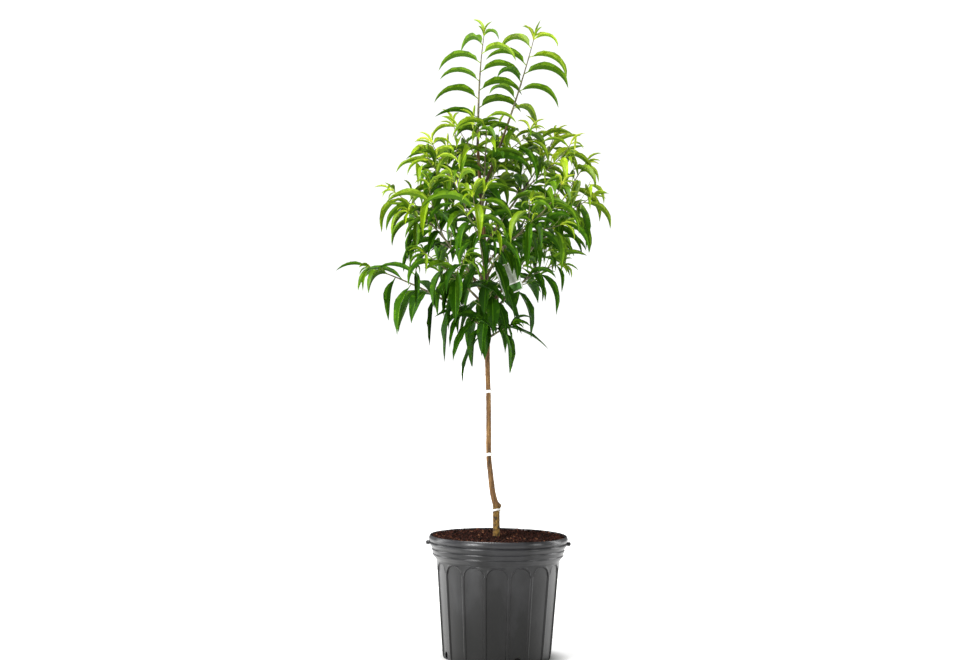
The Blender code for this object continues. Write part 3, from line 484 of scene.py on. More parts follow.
def cut(thing, cutters, operation="DIFFERENCE"):
    """Apply a Boolean with each cutter in turn, and remove the cutters."""
    for cutter in cutters:
        select_only(thing)
        change = thing.modifiers.new("cut", "BOOLEAN")
        change.operation = operation
        change.solver = "EXACT"
        change.object = cutter
        bpy.ops.object.modifier_apply(modifier=change.name)
        bpy.data.objects.remove(cutter, do_unlink=True)


def smooth(thing, degrees):
    """Shade a piece smooth but for its sharp edges."""
    select_only(thing)
    bpy.ops.object.shade_smooth_by_angle(angle=math.radians(degrees))
    thing.select_set(False)


rings, first_wall, last_wall = pot_rings()
pot = turned("pot_wall", FLUTES * len(columns), rings)
press_panels(pot, FLUTES * len(columns), first_wall, last_wall)
print("pot wall", len(pot.data.vertices), "vertices in", len(rings), "rings")

# %% [markdown]
# The two lugs on the bead are short rounded pegs, which the real mould leaves at its parting
# line, and the drain holes are small arches at the foot of every fourth panel. A lug is a
# cylinder whose outer rim is bevelled, joined by a Boolean union. A hole is a cube with its
# upper edges bevelled round, and a Boolean difference takes it out of the wall.

# %% Lugs and drain holes
EAR_RADIUS = 0.0042
EAR_REACH = 0.1458
EAR_DROP = 0.0165
EAR_LENGTH = 0.0095
DRAIN_HOLES = 4
DRAIN_WIDTH = 0.013
DRAIN_LOW = 0.0036
DRAIN_HIGH = 0.0165
DRAIN_ROUND = 0.0048
DRAIN_DEPTH = 0.03
EAR_SIDES = 28
EAR_ROUND = 0.0030
EAR_END = 0.001
ROUND_STEPS = 5


def bevel_edges(thing, chosen, offset, segments=ROUND_STEPS):
    """Round those edges of a piece whose two ends pass a test."""
    mode("EDIT")
    bpy.ops.mesh.select_all(action="DESELECT")
    mode("OBJECT")
    for edge in thing.data.edges:
        edge.select = chosen(*(thing.data.vertices[v].co for v in edge.vertices))
    mode("EDIT")
    bpy.ops.mesh.bevel(offset=offset, segments=segments, affect="EDGES")
    mode("OBJECT")


def lug(side):
    """One rounded peg on the bead, pointing along X."""
    middle = side * (EAR_REACH - EAR_LENGTH / 2)
    made = primitive(
        bpy.ops.mesh.primitive_cylinder_add, vertices=EAR_SIDES, radius=EAR_RADIUS, depth=EAR_LENGTH,
        location=(middle, 0, POT_HEIGHT - EAR_DROP), rotation=(0, math.pi / 2, 0),
    )
    bpy.ops.object.transform_apply()
    bevel_edges(made, lambda a, b: min(a.x * side, b.x * side) > EAR_REACH - EAR_END, EAR_ROUND)
    return made


def drain_arch(index):
    """A cutter with a round top that stands through the wall's foot."""
    pitch = 2 * math.pi / FLUTES
    angle = RIB_TURN - math.pi / 2 + pitch / 2 + 2 * math.pi * index / DRAIN_HOLES
    made = primitive(bpy.ops.mesh.primitive_cube_add, size=1.0)
    made.scale = (DRAIN_DEPTH, DRAIN_WIDTH, DRAIN_HIGH - DRAIN_LOW)
    bpy.ops.object.transform_apply(location=False, rotation=False, scale=True)
    bevel_edges(made, lambda a, b: min(a.z, b.z) > 0 and abs(a.x - b.x) > DRAIN_DEPTH / 3, DRAIN_ROUND)
    made.rotation_euler = (0, 0, angle)
    middle = (DRAIN_LOW + DRAIN_HIGH) / 2
    made.location = (BASE_RADIUS * math.cos(angle), BASE_RADIUS * math.sin(angle), middle)
    bpy.ops.object.transform_apply()
    return made


cut(pot, [drain_arch(i) for i in range(DRAIN_HOLES)])
cut(pot, [lug(side) for side in (-1, 1)], "UNION")
smooth(pot, 32)
print("pot with lugs and drain holes:", len(pot.data.polygons), "faces")

# %% [markdown]
# The plastic is recycled black with a satin skin. It is never one even tone: moulding leaves
# faint cloudy patches and a fine orange-peel. A slow noise varies the colour and the gloss, and
# a very fine one gives the skin its relief. The colour is also painted darker towards the foot
# and lighter towards the lip: painted shade and painted light on the wall.

# %% Black plastic
CLOUD = (13.0, 5.0, (1.0, 1.0, 0.45))
ORANGE_PEEL = (420.0, 2.0)
BLACKS = ((0.34, "020202"), (0.50, "0d0d0e"), (0.70, "2d2d2f"))
# Painted shade and light by height on the pot wall: darker low, lighter high
HEIGHT_SHADE = {"From Min": 0.02, "From Max": 0.24, "To Min": -0.17, "To Max": 0.15}
RUB = {"To Min": 0.22, "To Max": 0.38}
SATIN = 0.42

plastic, plastic_shader = new_finish("nursery_black", "222223", 0.40)
cloud = grain(plastic, *CLOUD)
# Painted shade and light: the colour darkens towards the pot's foot and lightens towards the lip
painted_height_shade = node(plastic, "ShaderNodeMapRange", HEIGHT_SHADE, Value=own_place(plastic, "Z")).outputs["Result"]
tone = combined(plastic, "ADD", cloud, painted_height_shade)
feed(plastic, ramp(plastic, tone, BLACKS), plastic_shader, "Base Color")
rubbed = node(plastic, "ShaderNodeMapRange", RUB, Value=cloud)
feed(plastic, rubbed.outputs["Result"], plastic_shader, "Roughness")
bump(plastic, plastic_shader, grain(plastic, *ORANGE_PEEL), 0.10, 0.0006)
shine(SATIN, plastic_shader)
dress(pot, plastic)
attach(pot, "root")
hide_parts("pot")
print("pot finished")

# %% [markdown]
# Potting mix is crumbly: ground bark, peat and a few pale chips, filled almost to the lip. A
# bump map on a flat disc would give itself away at the rim, where the grains show against the
# wall. So a bed with real relief carries several thousand loose chips, each a small block with
# its corners pulled about, scattered by a seeded rule and joined into one mesh.

# %% Soil bed
SOIL_EDGE = 0.2420
SOIL_MIDDLE = 0.2412
SOIL_RADIUS = 0.1336
SOIL_RELIEF = 0.0011
BED_COLUMNS = 120
BED_RINGS = 46
BED_GAP_LOW = 0.0012
BED_GAP_HIGH = 0.0014
BED_LIFT = 0.0003
BED_INSET = 0.0008
BED_DROPS = (0.0030, 0.0014)
BED_FIRST = 0.0006
BED_SKIN = 0.0002
NEAR_LUMPS = (260, 0.7)
FAR_LUMPS = (55, 0.6)

shoulder = POT_HEIGHT - SHOULDER_DROP
bed_rings = [
    (wall_radius(POT_FLOOR) - PANEL_RECESS - WALL - BED_GAP_LOW, POT_FLOOR + BED_LIFT),
    (wall_radius(shoulder) - PANEL_RECESS - WALL - BED_GAP_HIGH, shoulder),
    (SOIL_RADIUS - BED_INSET, SOIL_EDGE - BED_DROPS[0]),
    (SOIL_RADIUS, SOIL_EDGE - BED_DROPS[1]),
]
for i in range(BED_RINGS):
    share = i / BED_RINGS
    bed_rings.append((SOIL_RADIUS * (1 - share) - BED_FIRST, SOIL_EDGE + (SOIL_MIDDLE - SOIL_EDGE) * share))
bed = turned("soil_bed", BED_COLUMNS, bed_rings)
for vert in bed.data.vertices:
    if vert.co.z > SOIL_MIDDLE - BED_SKIN:
        near, far = noise.noise(vert.co * NEAR_LUMPS[0]), noise.noise(vert.co * FAR_LUMPS[0])
        vert.co.z += SOIL_RELIEF * (NEAR_LUMPS[1] * near + FAR_LUMPS[1] * far)
smooth(bed, 50)
print("soil bed", len(bed.data.polygons), "faces")

# %% Loose chips on the bed
CHIP_COUNT = 6400
CHIP_SHADES = {"chip_dark": "1a0c07", "chip_red": "3e2018", "chip_brown": "2e1912", "chip_tan": "6a4632"}
CHIP_DEAL = (0, 0, 0, 1, 1, 2, 2, 2, 0, 1, 2, 0, 0, 2, 1, 2, 0, 3)
CHIP_CORNERS = np.array([(x, y, z) for z in (-1, 1) for y in (-1, 1) for x in (-1, 1)], float)
CHIP_FACES = ((0, 2, 3, 1), (4, 5, 7, 6), (0, 1, 5, 4), (1, 3, 7, 5), (3, 2, 6, 7), (2, 0, 4, 6))
CHIP_SEED = 7
CHIP_SMALL = (0.0007, 0.0017)
CHIP_LARGE = (0.0017, 0.0030)
CHIP_SMALL_SHARE = 0.85
CHIP_SIDES = ((0.8, 1.7), (0.5, 0.9), (0.3, 0.6))
CHIP_CORNER_PULL = (0.65, 1.1)
CHIP_LIFT = (0.2, 0.9)
TRUNK_FOOT = Vector((-0.0042, 0.0, 0.0))
TRUNK_CLEAR = 0.0098
SOIL_TONES = ((0.36, "0e0705"), (0.50, "20110d"), (0.68, "3a2018"))
# How far below the soil's top the painted shade on the bed's sides begins
SHADE_BELOW = 0.004
DULL = 0.12


def joined_mesh(name, verts, faces, indices, finishes):
    """One object from arrays of vertices, faces and material numbers."""
    mesh = bpy.data.meshes.new(name)
    mesh.from_pydata(verts, [], faces)
    for finish in finishes:
        mesh.materials.append(finish)
    mesh.polygons.foreach_set("material_index", np.array(indices, np.int32))
    mesh.update()
    made = bpy.data.objects.new(name, mesh)
    bpy.context.scene.collection.objects.link(made)
    return made


def turn_matrix(rng):
    """A random turn as a matrix of numbers."""
    axis = Vector((rng.gauss(0, 1), rng.gauss(0, 1), rng.gauss(0, 1))).normalized()
    return np.array(Matrix.Rotation(rng.uniform(0, 2 * math.pi), 3, axis))


def scatter_chips():
    """Vertices, faces and shades of all the chips."""
    rng = random.Random(CHIP_SEED)
    verts, faces, shades = [], [], []
    while len(faces) < CHIP_COUNT * len(CHIP_FACES):
        reach = SOIL_RADIUS * math.sqrt(rng.random())
        angle = rng.uniform(0, 2 * math.pi)
        size = rng.uniform(*(CHIP_SMALL if rng.random() < CHIP_SMALL_SHARE else CHIP_LARGE))
        place = Vector((reach * math.cos(angle), reach * math.sin(angle), 0.0))
        if reach > SOIL_RADIUS - size or (place - TRUNK_FOOT).length < TRUNK_CLEAR:
            continue
        sizes = size * np.array([rng.uniform(*side) for side in CHIP_SIDES])
        pulls = [[rng.uniform(*CHIP_CORNER_PULL) for _ in row] for row in CHIP_CORNERS]
        corners = (CHIP_CORNERS * np.array(pulls) * sizes) @ turn_matrix(rng).T
        ground = SOIL_EDGE + (SOIL_MIDDLE - SOIL_EDGE) * (1 - reach / SOIL_RADIUS)
        corners += np.array((place.x, place.y, ground + rng.uniform(*CHIP_LIFT) * size))
        base = len(verts)
        verts += corners.tolist()
        faces += [tuple(base + i for i in face) for face in CHIP_FACES]
        shades += [rng.choice(CHIP_DEAL)] * len(CHIP_FACES)
    return verts, faces, shades


chip_finishes = []
for chip_name, chip_screen in CHIP_SHADES.items():
    finish, shader = new_finish(chip_name, chip_screen, 0.9)
    bump(finish, shader, grain(finish, 900.0, 3.0), 0.5, 0.0005)
    shine(DULL, shader)
    chip_finishes.append(finish)
chips = joined_mesh("soil_chips", *scatter_chips(), chip_finishes)

earth, earth_shader = grained("potting_mix", "2a1812", 0.95, 330.0, 6.0, SOIL_TONES)
bump(earth, earth_shader, grain(earth, 520.0, 5.0), 0.8, 0.0012)
shine(DULL, earth_shader)
# Painted shade: the bed's sides, inside the pot below the soil's surface, get a near-black finish where shade
# falls
gap_shade, gap_shade_shader = new_finish("damp_mix", "080504", 0.95)
bump(gap_shade, gap_shade_shader, grain(gap_shade, 520.0, 5.0), 0.8, 0.0012)
dress(bed, earth, gap_shade)
for face in bed.data.polygons:
    face.material_index = 1 if face.center.z < SOIL_MIDDLE - SHADE_BELOW else 0
for piece in (bed, chips):
    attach(piece, "root")
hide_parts("soil")
print(CHIP_COUNT, "chips in", len(CHIP_SHADES), "shades")

# %% [markdown]
# Now the growth rule. The solids were grown by a rule, and this script carries the same rule
# further, so it is written again here: a trunk on a smooth curve through a few measured
# stations, branches that leave it at a height and end at a tip, side shoots on those, and
# leaves that turn round each stem by the same angle. The same seeds give most of the same
# leaves, and a few sit otherwise, because their neighbours are shaped a little differently.

# %% Trunk, branches and shoots
SOIL_CROWN = 0.2425
TrunkStation = namedtuple("TrunkStation", "height x radius")
TRUNK_STATIONS = tuple(TrunkStation(*row) for row in (
    (SOIL_CROWN + 0.0003, -0.0042, 0.0068),
    (0.2520, -0.0042, 0.0070),
    (0.2720, -0.0046, 0.0069),
    (0.2960, -0.0049, 0.0069),
    (0.3045, -0.0052, 0.0072),
    (0.3145, -0.0084, 0.0063),
    (0.3370, -0.0137, 0.0058),
    (0.3700, -0.0178, 0.0054),
    (0.4000, -0.0213, 0.0052),
    (0.4500, -0.0224, 0.0051),
    (0.5200, -0.0237, 0.0049),
    (0.5900, -0.0268, 0.0048),
    (0.6600, -0.0281, 0.0047),
    (0.8000, -0.0340, 0.0041),
    (0.9200, -0.0440, 0.0034),
    (1.0260, -0.0525, 0.0028),
))
CROWN_X = -0.027
Branch = namedtuple("Branch", "name start azimuth reach height leave arrive bare radius turn phase")
Shoot = namedtuple("Shoot", "branch start azimuth reach height arrive")
BRANCHES = tuple(Branch(*row) for row in (
    ("top_left", 1.0260, 180, 0.0150, 1.2560, 90, 82, 0.00, 0.0028, 170, 60),
    ("top_right", 0.9300, 1, 0.0860, 1.2500, 68, 76, 0.48, 0.0034, 170, -120),
    ("low_left", 0.6560, -171, 0.2450, 0.7800, 40, 18, 0.26, 0.0034, 144, 90),
    ("low_right", 0.6780, -8, 0.1460, 0.7900, 52, 8, 0.24, 0.0031, 144, 30),
    ("right_mid", 0.7000, 6, 0.1960, 1.0000, 50, 58, 0.26, 0.0036, 144, 200),
    ("left_mid", 0.7160, 174, 0.2000, 0.9380, 60, 34, 0.24, 0.0034, 144, 10),
    ("front_left", 0.7560, -101, 0.1720, 0.9200, 48, 52, 0.22, 0.0030, 144, 70),
    ("front_right", 0.7900, -41, 0.1860, 0.9420, 40, 58, 0.22, 0.0030, 144, 250),
    ("back_left", 0.7400, 121, 0.1950, 0.9450, 48, 56, 0.22, 0.0032, 144, 130),
    ("back_right", 0.7620, 62, 0.1980, 0.9300, 48, 54, 0.22, 0.0032, 144, 310),
    ("right_high", 0.8260, 22, 0.1420, 1.0560, 58, 66, 0.22, 0.0030, 144, 20),
    ("left_high", 0.8500, 150, 0.1400, 1.0420, 55, 60, 0.22, 0.0029, 144, 180),
    ("low_front", 0.7000, -138, 0.1740, 0.8080, 40, 26, 0.22, 0.0028, 144, 240),
    ("low_back", 0.6880, 92, 0.1780, 0.8030, 38, 30, 0.22, 0.0029, 144, 40),
    ("crown_front", 0.8980, -96, 0.0640, 1.0860, 60, 70, 0.00, 0.0022, 144, 0),
    ("crown_back", 0.8780, 84, 0.1150, 1.0240, 52, 66, 0.00, 0.0022, 144, 90),
    ("spur_left", 0.6480, -112, 0.0640, 0.6760, 24, 20, 0.00, 0.0021, 144, 300),
    ("spur_right", 0.6400, -30, 0.0600, 0.6700, 30, 20, 0.00, 0.0020, 144, 20),
    ("spur_back", 0.6740, 140, 0.0800, 0.7100, 24, 30, 0.00, 0.0021, 144, 120),
))
SHOOTS = tuple(Shoot(*row) for row in (
    ("low_left", 0.60, -150, 0.1650, 0.7860, 30),
    ("low_right", 0.52, 14, 0.1250, 0.8230, 40),
    ("right_mid", 0.56, -17, 0.2120, 0.9250, 34),
    ("right_mid", 0.40, 34, 0.1600, 0.8700, 40),
    ("left_mid", 0.50, -146, 0.1440, 0.9390, 66),
    ("left_mid", 0.62, -160, 0.1720, 0.8900, 26),
    ("left_mid", 0.40, 155, 0.1550, 0.8550, 40),
    ("front_left", 0.46, -124, 0.1320, 0.9540, 66),
    ("front_left", 0.36, -84, 0.1500, 0.8560, 40),
    ("front_right", 0.48, -64, 0.1760, 0.9080, 52),
    ("front_right", 0.40, -30, 0.1700, 0.8700, 30),
    ("back_left", 0.50, 142, 0.1800, 0.8900, 48),
    ("back_right", 0.50, 40, 0.1960, 0.8900, 44),
    ("back_right", 0.42, 80, 0.1800, 0.8800, 44),
    ("right_high", 0.46, -8, 0.1620, 1.0320, 60),
    ("right_high", 0.40, 50, 0.1000, 1.0150, 66),
    ("left_high", 0.44, 162, 0.0800, 1.0760, 72),
    ("left_high", 0.50, -158, 0.1360, 1.0000, 54),
    ("low_front", 0.50, -108, 0.1480, 0.7960, 30),
    ("low_back", 0.46, 122, 0.1700, 0.8000, 30),
    ("low_back", 0.40, 62, 0.1620, 0.7920, 30),
    ("crown_front", 0.42, -12, 0.0820, 1.0600, 64),
    ("crown_front", 0.36, -148, 0.0780, 1.0600, 60),
))
BRANCH_STEPS = 60
SHOOT_STEPS = 40
SHOOT_PULL = 1.6
TIP_RADIUS = 0.0007
SHOOT_PHASE = 100.0
SIDE_SHOOT_SHARE = 0.72
COLLAR = 1.30
COLLAR_LENGTH = 0.010
TWIG_STEP = 0.036
LEAST_SPAN = 1e-6
TINY = 1e-9
NEARLY_ALONG = 0.9
Stem = namedtuple("Stem", "points radii turn phase on_trunk name")


def trunk_at(height):
    """The trunk's axis point and radius at a height, on a smooth curve through its stations."""
    heights = [s.height for s in TRUNK_STATIONS]
    height = min(max(height, heights[0]), heights[-1])
    i = min(max(int(np.searchsorted(heights, height)) - 1, 0), len(heights) - 2)
    before, here, there, after = (TRUNK_STATIONS[min(max(i + k, 0), len(heights) - 1)] for k in (-1, 0, 1, 2))
    span = there.height - here.height
    t = (height - here.height) / span
    values = []
    for field in ("x", "radius"):
        a, b, c, d = (getattr(s, field) for s in (before, here, there, after))
        slope_b = (c - a) / max(there.height - before.height, LEAST_SPAN) * span
        slope_c = (d - b) / max(after.height - here.height, LEAST_SPAN) * span
        values.append(
            (2 * t**3 - 3 * t**2 + 1) * b
            + (t**3 - 2 * t**2 + t) * slope_b
            + (3 * t**2 - 2 * t**3) * c
            + (t**3 - t**2) * slope_c
        )
    return Vector((values[0], 0.0, height)), values[1]


def between(ends, share):
    """The value at a share of the way from the first to the last of some values."""
    return ends[0] + (ends[-1] - ends[0]) * share


def stray(rng, most):
    """A chance value between minus and plus a limit."""
    return rng.uniform(-most, most)


def bearing(x, y):
    """The compass angle of a direction on the ground, in degrees."""
    return math.degrees(math.atan2(y, x))


def across_at(side, other, angle):
    """The direction across a stem at an angle round it."""
    return side * math.cos(angle) + other * math.sin(angle)


def heading(azimuth, elevation):
    """A unit direction from a compass angle and a rise, both in degrees."""
    a, e = math.radians(azimuth), math.radians(elevation)
    return Vector((math.cos(e) * math.cos(a), math.cos(e) * math.sin(a), math.sin(e)))


def tip_point(azimuth, reach, height):
    """A tip's place from the crown's axis."""
    a = math.radians(azimuth)
    return Vector((CROWN_X + reach * math.cos(a), reach * math.sin(a), height))


def cubic(start, leave, end, arrive, steps):
    """Points on a cubic that leaves and arrives along two directions."""
    pull = (end - start).length / 3
    first, second = start + leave * pull, end - arrive * pull
    points = []
    for i in range(steps + 1):
        t = i / steps
        u = 1 - t
        points.append(u**3 * start + 3 * u * u * t * first + 3 * u * t * t * second + t**3 * end)
    return points


def branch_line(row):
    """A branch's whole line, from the trunk's axis to its tip."""
    start = trunk_at(row.start)[0]
    end = tip_point(row.azimuth, row.reach, row.height)
    away = bearing(end.x - start.x, end.y - start.y)
    return cubic(start, heading(away, row.leave), end, heading(away, row.arrive), BRANCH_STEPS)


def shoot_line(row, parent):
    """A side shoot's line, from the parent's axis to its tip."""
    index = round(row.start * (len(parent) - 1))
    start = parent[index]
    along = (parent[index + 1] - parent[index - 1]).normalized()
    end = tip_point(row.azimuth, row.reach, row.height)
    away = bearing(end.x - start.x, end.y - start.y)
    leave = (along + (end - start).normalized() * SHOOT_PULL).normalized()
    return cubic(start, leave, end, heading(away, row.arrive), SHOOT_STEPS)


def line_length(points):
    """The length along a line."""
    return sum((b - a).length for a, b in zip(points, points[1:]))


def resample(points, step):
    """The same line with about one point for each step of length."""
    total = line_length(points)
    parts = max(2, round(total / step))
    made, travelled, wanted = [points[0]], 0.0, total / parts
    for a, b in zip(points, points[1:]):
        length = (b - a).length
        while travelled + length >= wanted - TINY and len(made) < parts:
            made.append(a.lerp(b, (wanted - travelled) / length))
            wanted += total / parts
        travelled += length
    made.append(points[-1])
    return made


def frames(points):
    """A tangent and two cross directions at each point, carried along without twist."""
    tangents = []
    for i in range(len(points)):
        before, after = points[max(i - 1, 0)], points[min(i + 1, len(points) - 1)]
        tangents.append((after - before).normalized())
    side = Vector((1, 0, 0)) if abs(tangents[0].x) < NEARLY_ALONG else Vector((0, 1, 0))
    made = []
    for tangent in tangents:
        side = (side - tangent * side.dot(tangent)).normalized()
        made.append((tangent, side, tangent.cross(side)))
    return made


def tapered(points, first, last, collar=False):
    """Radii that fall evenly along a line, with a collar at its foot."""
    total = line_length(points)
    travelled, radii = 0.0, []
    for i, point in enumerate(points):
        if i:
            travelled += (point - points[i - 1]).length
        radius = first + (last - first) * travelled / total
        if collar:
            radius *= 1 + (COLLAR - 1) * math.exp(-((travelled / COLLAR_LENGTH) ** 2))
        radii.append(radius)
    return radii


def stems_of(row):
    """The bare bough's line and the stems of a branch's mass, each with its radii."""
    line = branch_line(row)
    bare = round(row.bare * (len(line) - 1))
    on_trunk = row.bare == 0 and row.start < TRUNK_STATIONS[-1].height
    radii = tapered(line, row.radius, TIP_RADIUS, collar=row.start < TRUNK_STATIONS[-1].height)
    bough = (line[: bare + 1], radii[: bare + 1]) if bare else None
    stems = [Stem(line[bare:], radii[bare:], row.turn, row.phase, on_trunk, row.name)]
    for number, shoot in enumerate(s for s in SHOOTS if s.branch == row.name):
        index = round(shoot.start * (len(line) - 1))
        side_line = shoot_line(shoot, line)
        side_radii = tapered(side_line, radii[index] * SIDE_SHOOT_SHARE, TIP_RADIUS)
        phase = row.phase + SHOOT_PHASE * (number + 1)
        stems.append(Stem(side_line, side_radii, row.turn, phase, False, f"{row.name}_{number}"))
    return bough, stems


plan = [(row, *stems_of(row)) for row in BRANCHES]
print(len(plan), "branches with", sum(len(stems) for _, _, stems in plan), "stems")

# %% [markdown]
# A leaf of this tree is a narrow blade folded along its midrib. It leaves the shoot rising,
# arches over and ends in a long point. Young leaves near a tip are short and curl most, and the
# old leaves low in the crown are long and hang. The rule keeps a list of what already takes up
# room. A leaf that would touch another branch, the trunk or the label is tried again a little
# turned, and is left out if it still touches.

# %% The leaf rule
LEFT_LIMIT = -0.3315
RIGHT_LIMIT = 0.2215
DEPTH_LIMIT = 0.262
TOP_LIMIT = 1.2850
LOW_LIMIT = 0.5350
LEAF_SPACING = 0.0180
LEAF_MARGIN = 0.012
LEAF_OLD_LENGTH = 0.124
LEAF_GROWN_LENGTH = 0.106
LEAF_YOUNG_LENGTH = 0.054
LEAF_GROWN_AFTER = 0.030
LEAF_OLD_AFTER = 0.120
LEAF_WIDTH_SHARE = 0.235
LEAF_ANGLE = 54.0
LEAF_HANG = 46.0
LEAF_LEAST_HANG = 4.0
HANGING_BELOW = 0.870
HANGING_DEPTH = 0.150
ALL_HANG_BELOW = 0.760
LEADERS_ABOVE = 1.090
CROWN_LEAF_SHARES = (0.80, 0.92)
LONGER_HEIGHTS = (0.80, 0.90)
HANGING_LEAF_SHARE = 0.94
CROWN_FLATTER = 10.0
CROWN_STRAIGHTER = 24.0
SPREAD_SHARE = 0.72
SPREAD_HANG = 0.25
LEAF_YOUNG_BEND = 104.0
LEAF_AGED_BEND = -14.0
LEAF_HANGING_BEND = -36.0
LEAF_STEEPEST = -86.0
LEAF_HIGHEST = 66.0
LEAF_TRIES = 7
LEAF_STEPS = 24
LEAF_STATIONS = ((0.00, 0.00), (0.36, 0.46), (0.70, 0.34))
LEAF_FOLD = 0.70
LEAF_KEEL = 0.0006
LEAF_ROOT_SHARE = 0.34
LEAF_TEST_START = 0.16
LEAF_TEST_SPARE = 0.0004
LEAF_NODES = 200
BEND_POWER = 1.25
ROLL_AT_ROOT = 0.4
ROLL_GROWTH = 0.6
YOUNG_WIDTH = 0.8
GROWN_WIDTH = 0.2
STRAY_LENGTH = (0.88, 1.08)
STRAY_WIDTH = (0.9, 1.1)
SLACK_SHORTER = 0.05
TIP_LEAF_LENGTH = {"low_left": 0.068, "top_right": 0.036, "top_left": 0.030}
TIP_LEAF_DEFAULT = 0.040
TUFTLESS = ("crown_front",)
TIP_LEAF_BEND = {"top_right": 12.0}
TIP_BEND_DEFAULT = 60.0
TIP_LEAF_WIDTH_SHARE = 0.18
STRAY_ROUND = 12.0
STRAY_OPENING = 8.0
STRAY_LIFT = 8.0
STRAY_BEND = 12.0
STRAY_ROLL = 26.0
STRAY_SICKLE = 16.0
SEED = 41
Leaf = namedtuple("Leaf", "root azimuth lift bend length width roll sickle age stem hanging")


def leaf_spine(leaf, steps=LEAF_STEPS):
    """Points along a leaf's midrib, each with its heading, its blade's up and its across."""
    made = []
    point = leaf.root.copy()
    step = leaf.length / steps
    for i in range(steps + 1):
        share = i / steps
        rise = max(leaf.lift - leaf.bend * share**BEND_POWER, LEAF_STEEPEST)
        azimuth = leaf.azimuth + leaf.sickle * share * share
        forward = heading(azimuth, rise)
        up = heading(azimuth, rise + 90.0)
        across = forward.cross(up)
        roll = math.radians(leaf.roll * (ROLL_AT_ROOT + ROLL_GROWTH * share))
        tilted = across * math.cos(roll) + up * math.sin(roll)
        made.append((point.copy(), forward, tilted.cross(forward), tilted))
        point += forward * step
    return made


def ring_faces(rings, sides, split=False):
    """The faces between a tube's rings, whole or split into triangles."""
    faces = []
    for ring in range(rings - 1):
        for i in range(sides):
            a, b = ring * sides + i, ring * sides + (i + 1) % sides
            c, d = b + sides, a + sides
            faces += [(a, b, c), (a, c, d)] if split else [(a, b, c, d)]
    return faces


def leaf_block(leaf, spare=0.0, start=0.0):
    """The corners and triangles of a leaf's plain closed body, for testing its place."""
    spine = leaf_spine(leaf)
    verts = []
    for share, wide in LEAF_STATIONS:
        point, forward, up, across = spine[round(max(share, start) * LEAF_STEPS)]
        half = max(leaf.width * wide, leaf.stem * LEAF_ROOT_SHARE)
        lift = LEAF_FOLD * (half if wide else 0.5 * half) + spare
        keel = (LEAF_KEEL if wide else 0.5 * half) + spare
        verts += [
            point + across * (half + spare) + up * lift,
            point - across * (half + spare) + up * lift,
            point - up * keel,
        ]
    verts.append(spine[-1][0] + spine[-1][1] * spare)
    faces = [(0, 1, 2)] + ring_faces(len(LEAF_STATIONS), 3, split=True) + [(6, 7, 9), (7, 8, 9), (8, 6, 9)]
    return verts, faces


def inside_crown(leaf):
    """Whether the whole midrib stays within the crown's reach."""
    for point, *_ in leaf_spine(leaf):
        if not LEFT_LIMIT <= point.x <= RIGHT_LIMIT or not LOW_LIMIT <= point.z <= TOP_LIMIT:
            return False
        if abs(point.y) > DEPTH_LIMIT:
            return False
    return True


class Space:
    """The bodies that hold their places, each with its box and owner, so that later ones keep clear."""

    def __init__(self):
        self.lows, self.highs, self.trees, self.owners = [], [], [], []

    def add(self, verts, faces, owner):
        """Keep a body's place."""
        corners = np.array(verts)
        self.lows.append(corners.min(axis=0))
        self.highs.append(corners.max(axis=0))
        self.trees.append(BVHTree.FromPolygons(verts, faces))
        self.owners.append(owner)

    def add_node(self, name, owner):
        """Keep a frame solid's place."""
        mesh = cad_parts[name].data
        verts = [v.co.copy() for v in mesh.vertices]
        self.add(verts, [tuple(p.vertices) for p in mesh.polygons], owner)

    def is_clear(self, whole, outer, owner):
        """Whether a whole leaf touches no other owner's body, and its outer part none of its owner's."""
        corners = np.array(whole[0])
        low, high = corners.min(axis=0), corners.max(axis=0)
        near = np.all((np.array(self.lows) <= high) & (np.array(self.highs) >= low), axis=1)
        trees = {True: BVHTree.FromPolygons(*outer), False: BVHTree.FromPolygons(*whole)}
        return not any(trees[self.owners[i] == owner].overlap(self.trees[i]) for i in np.flatnonzero(near))


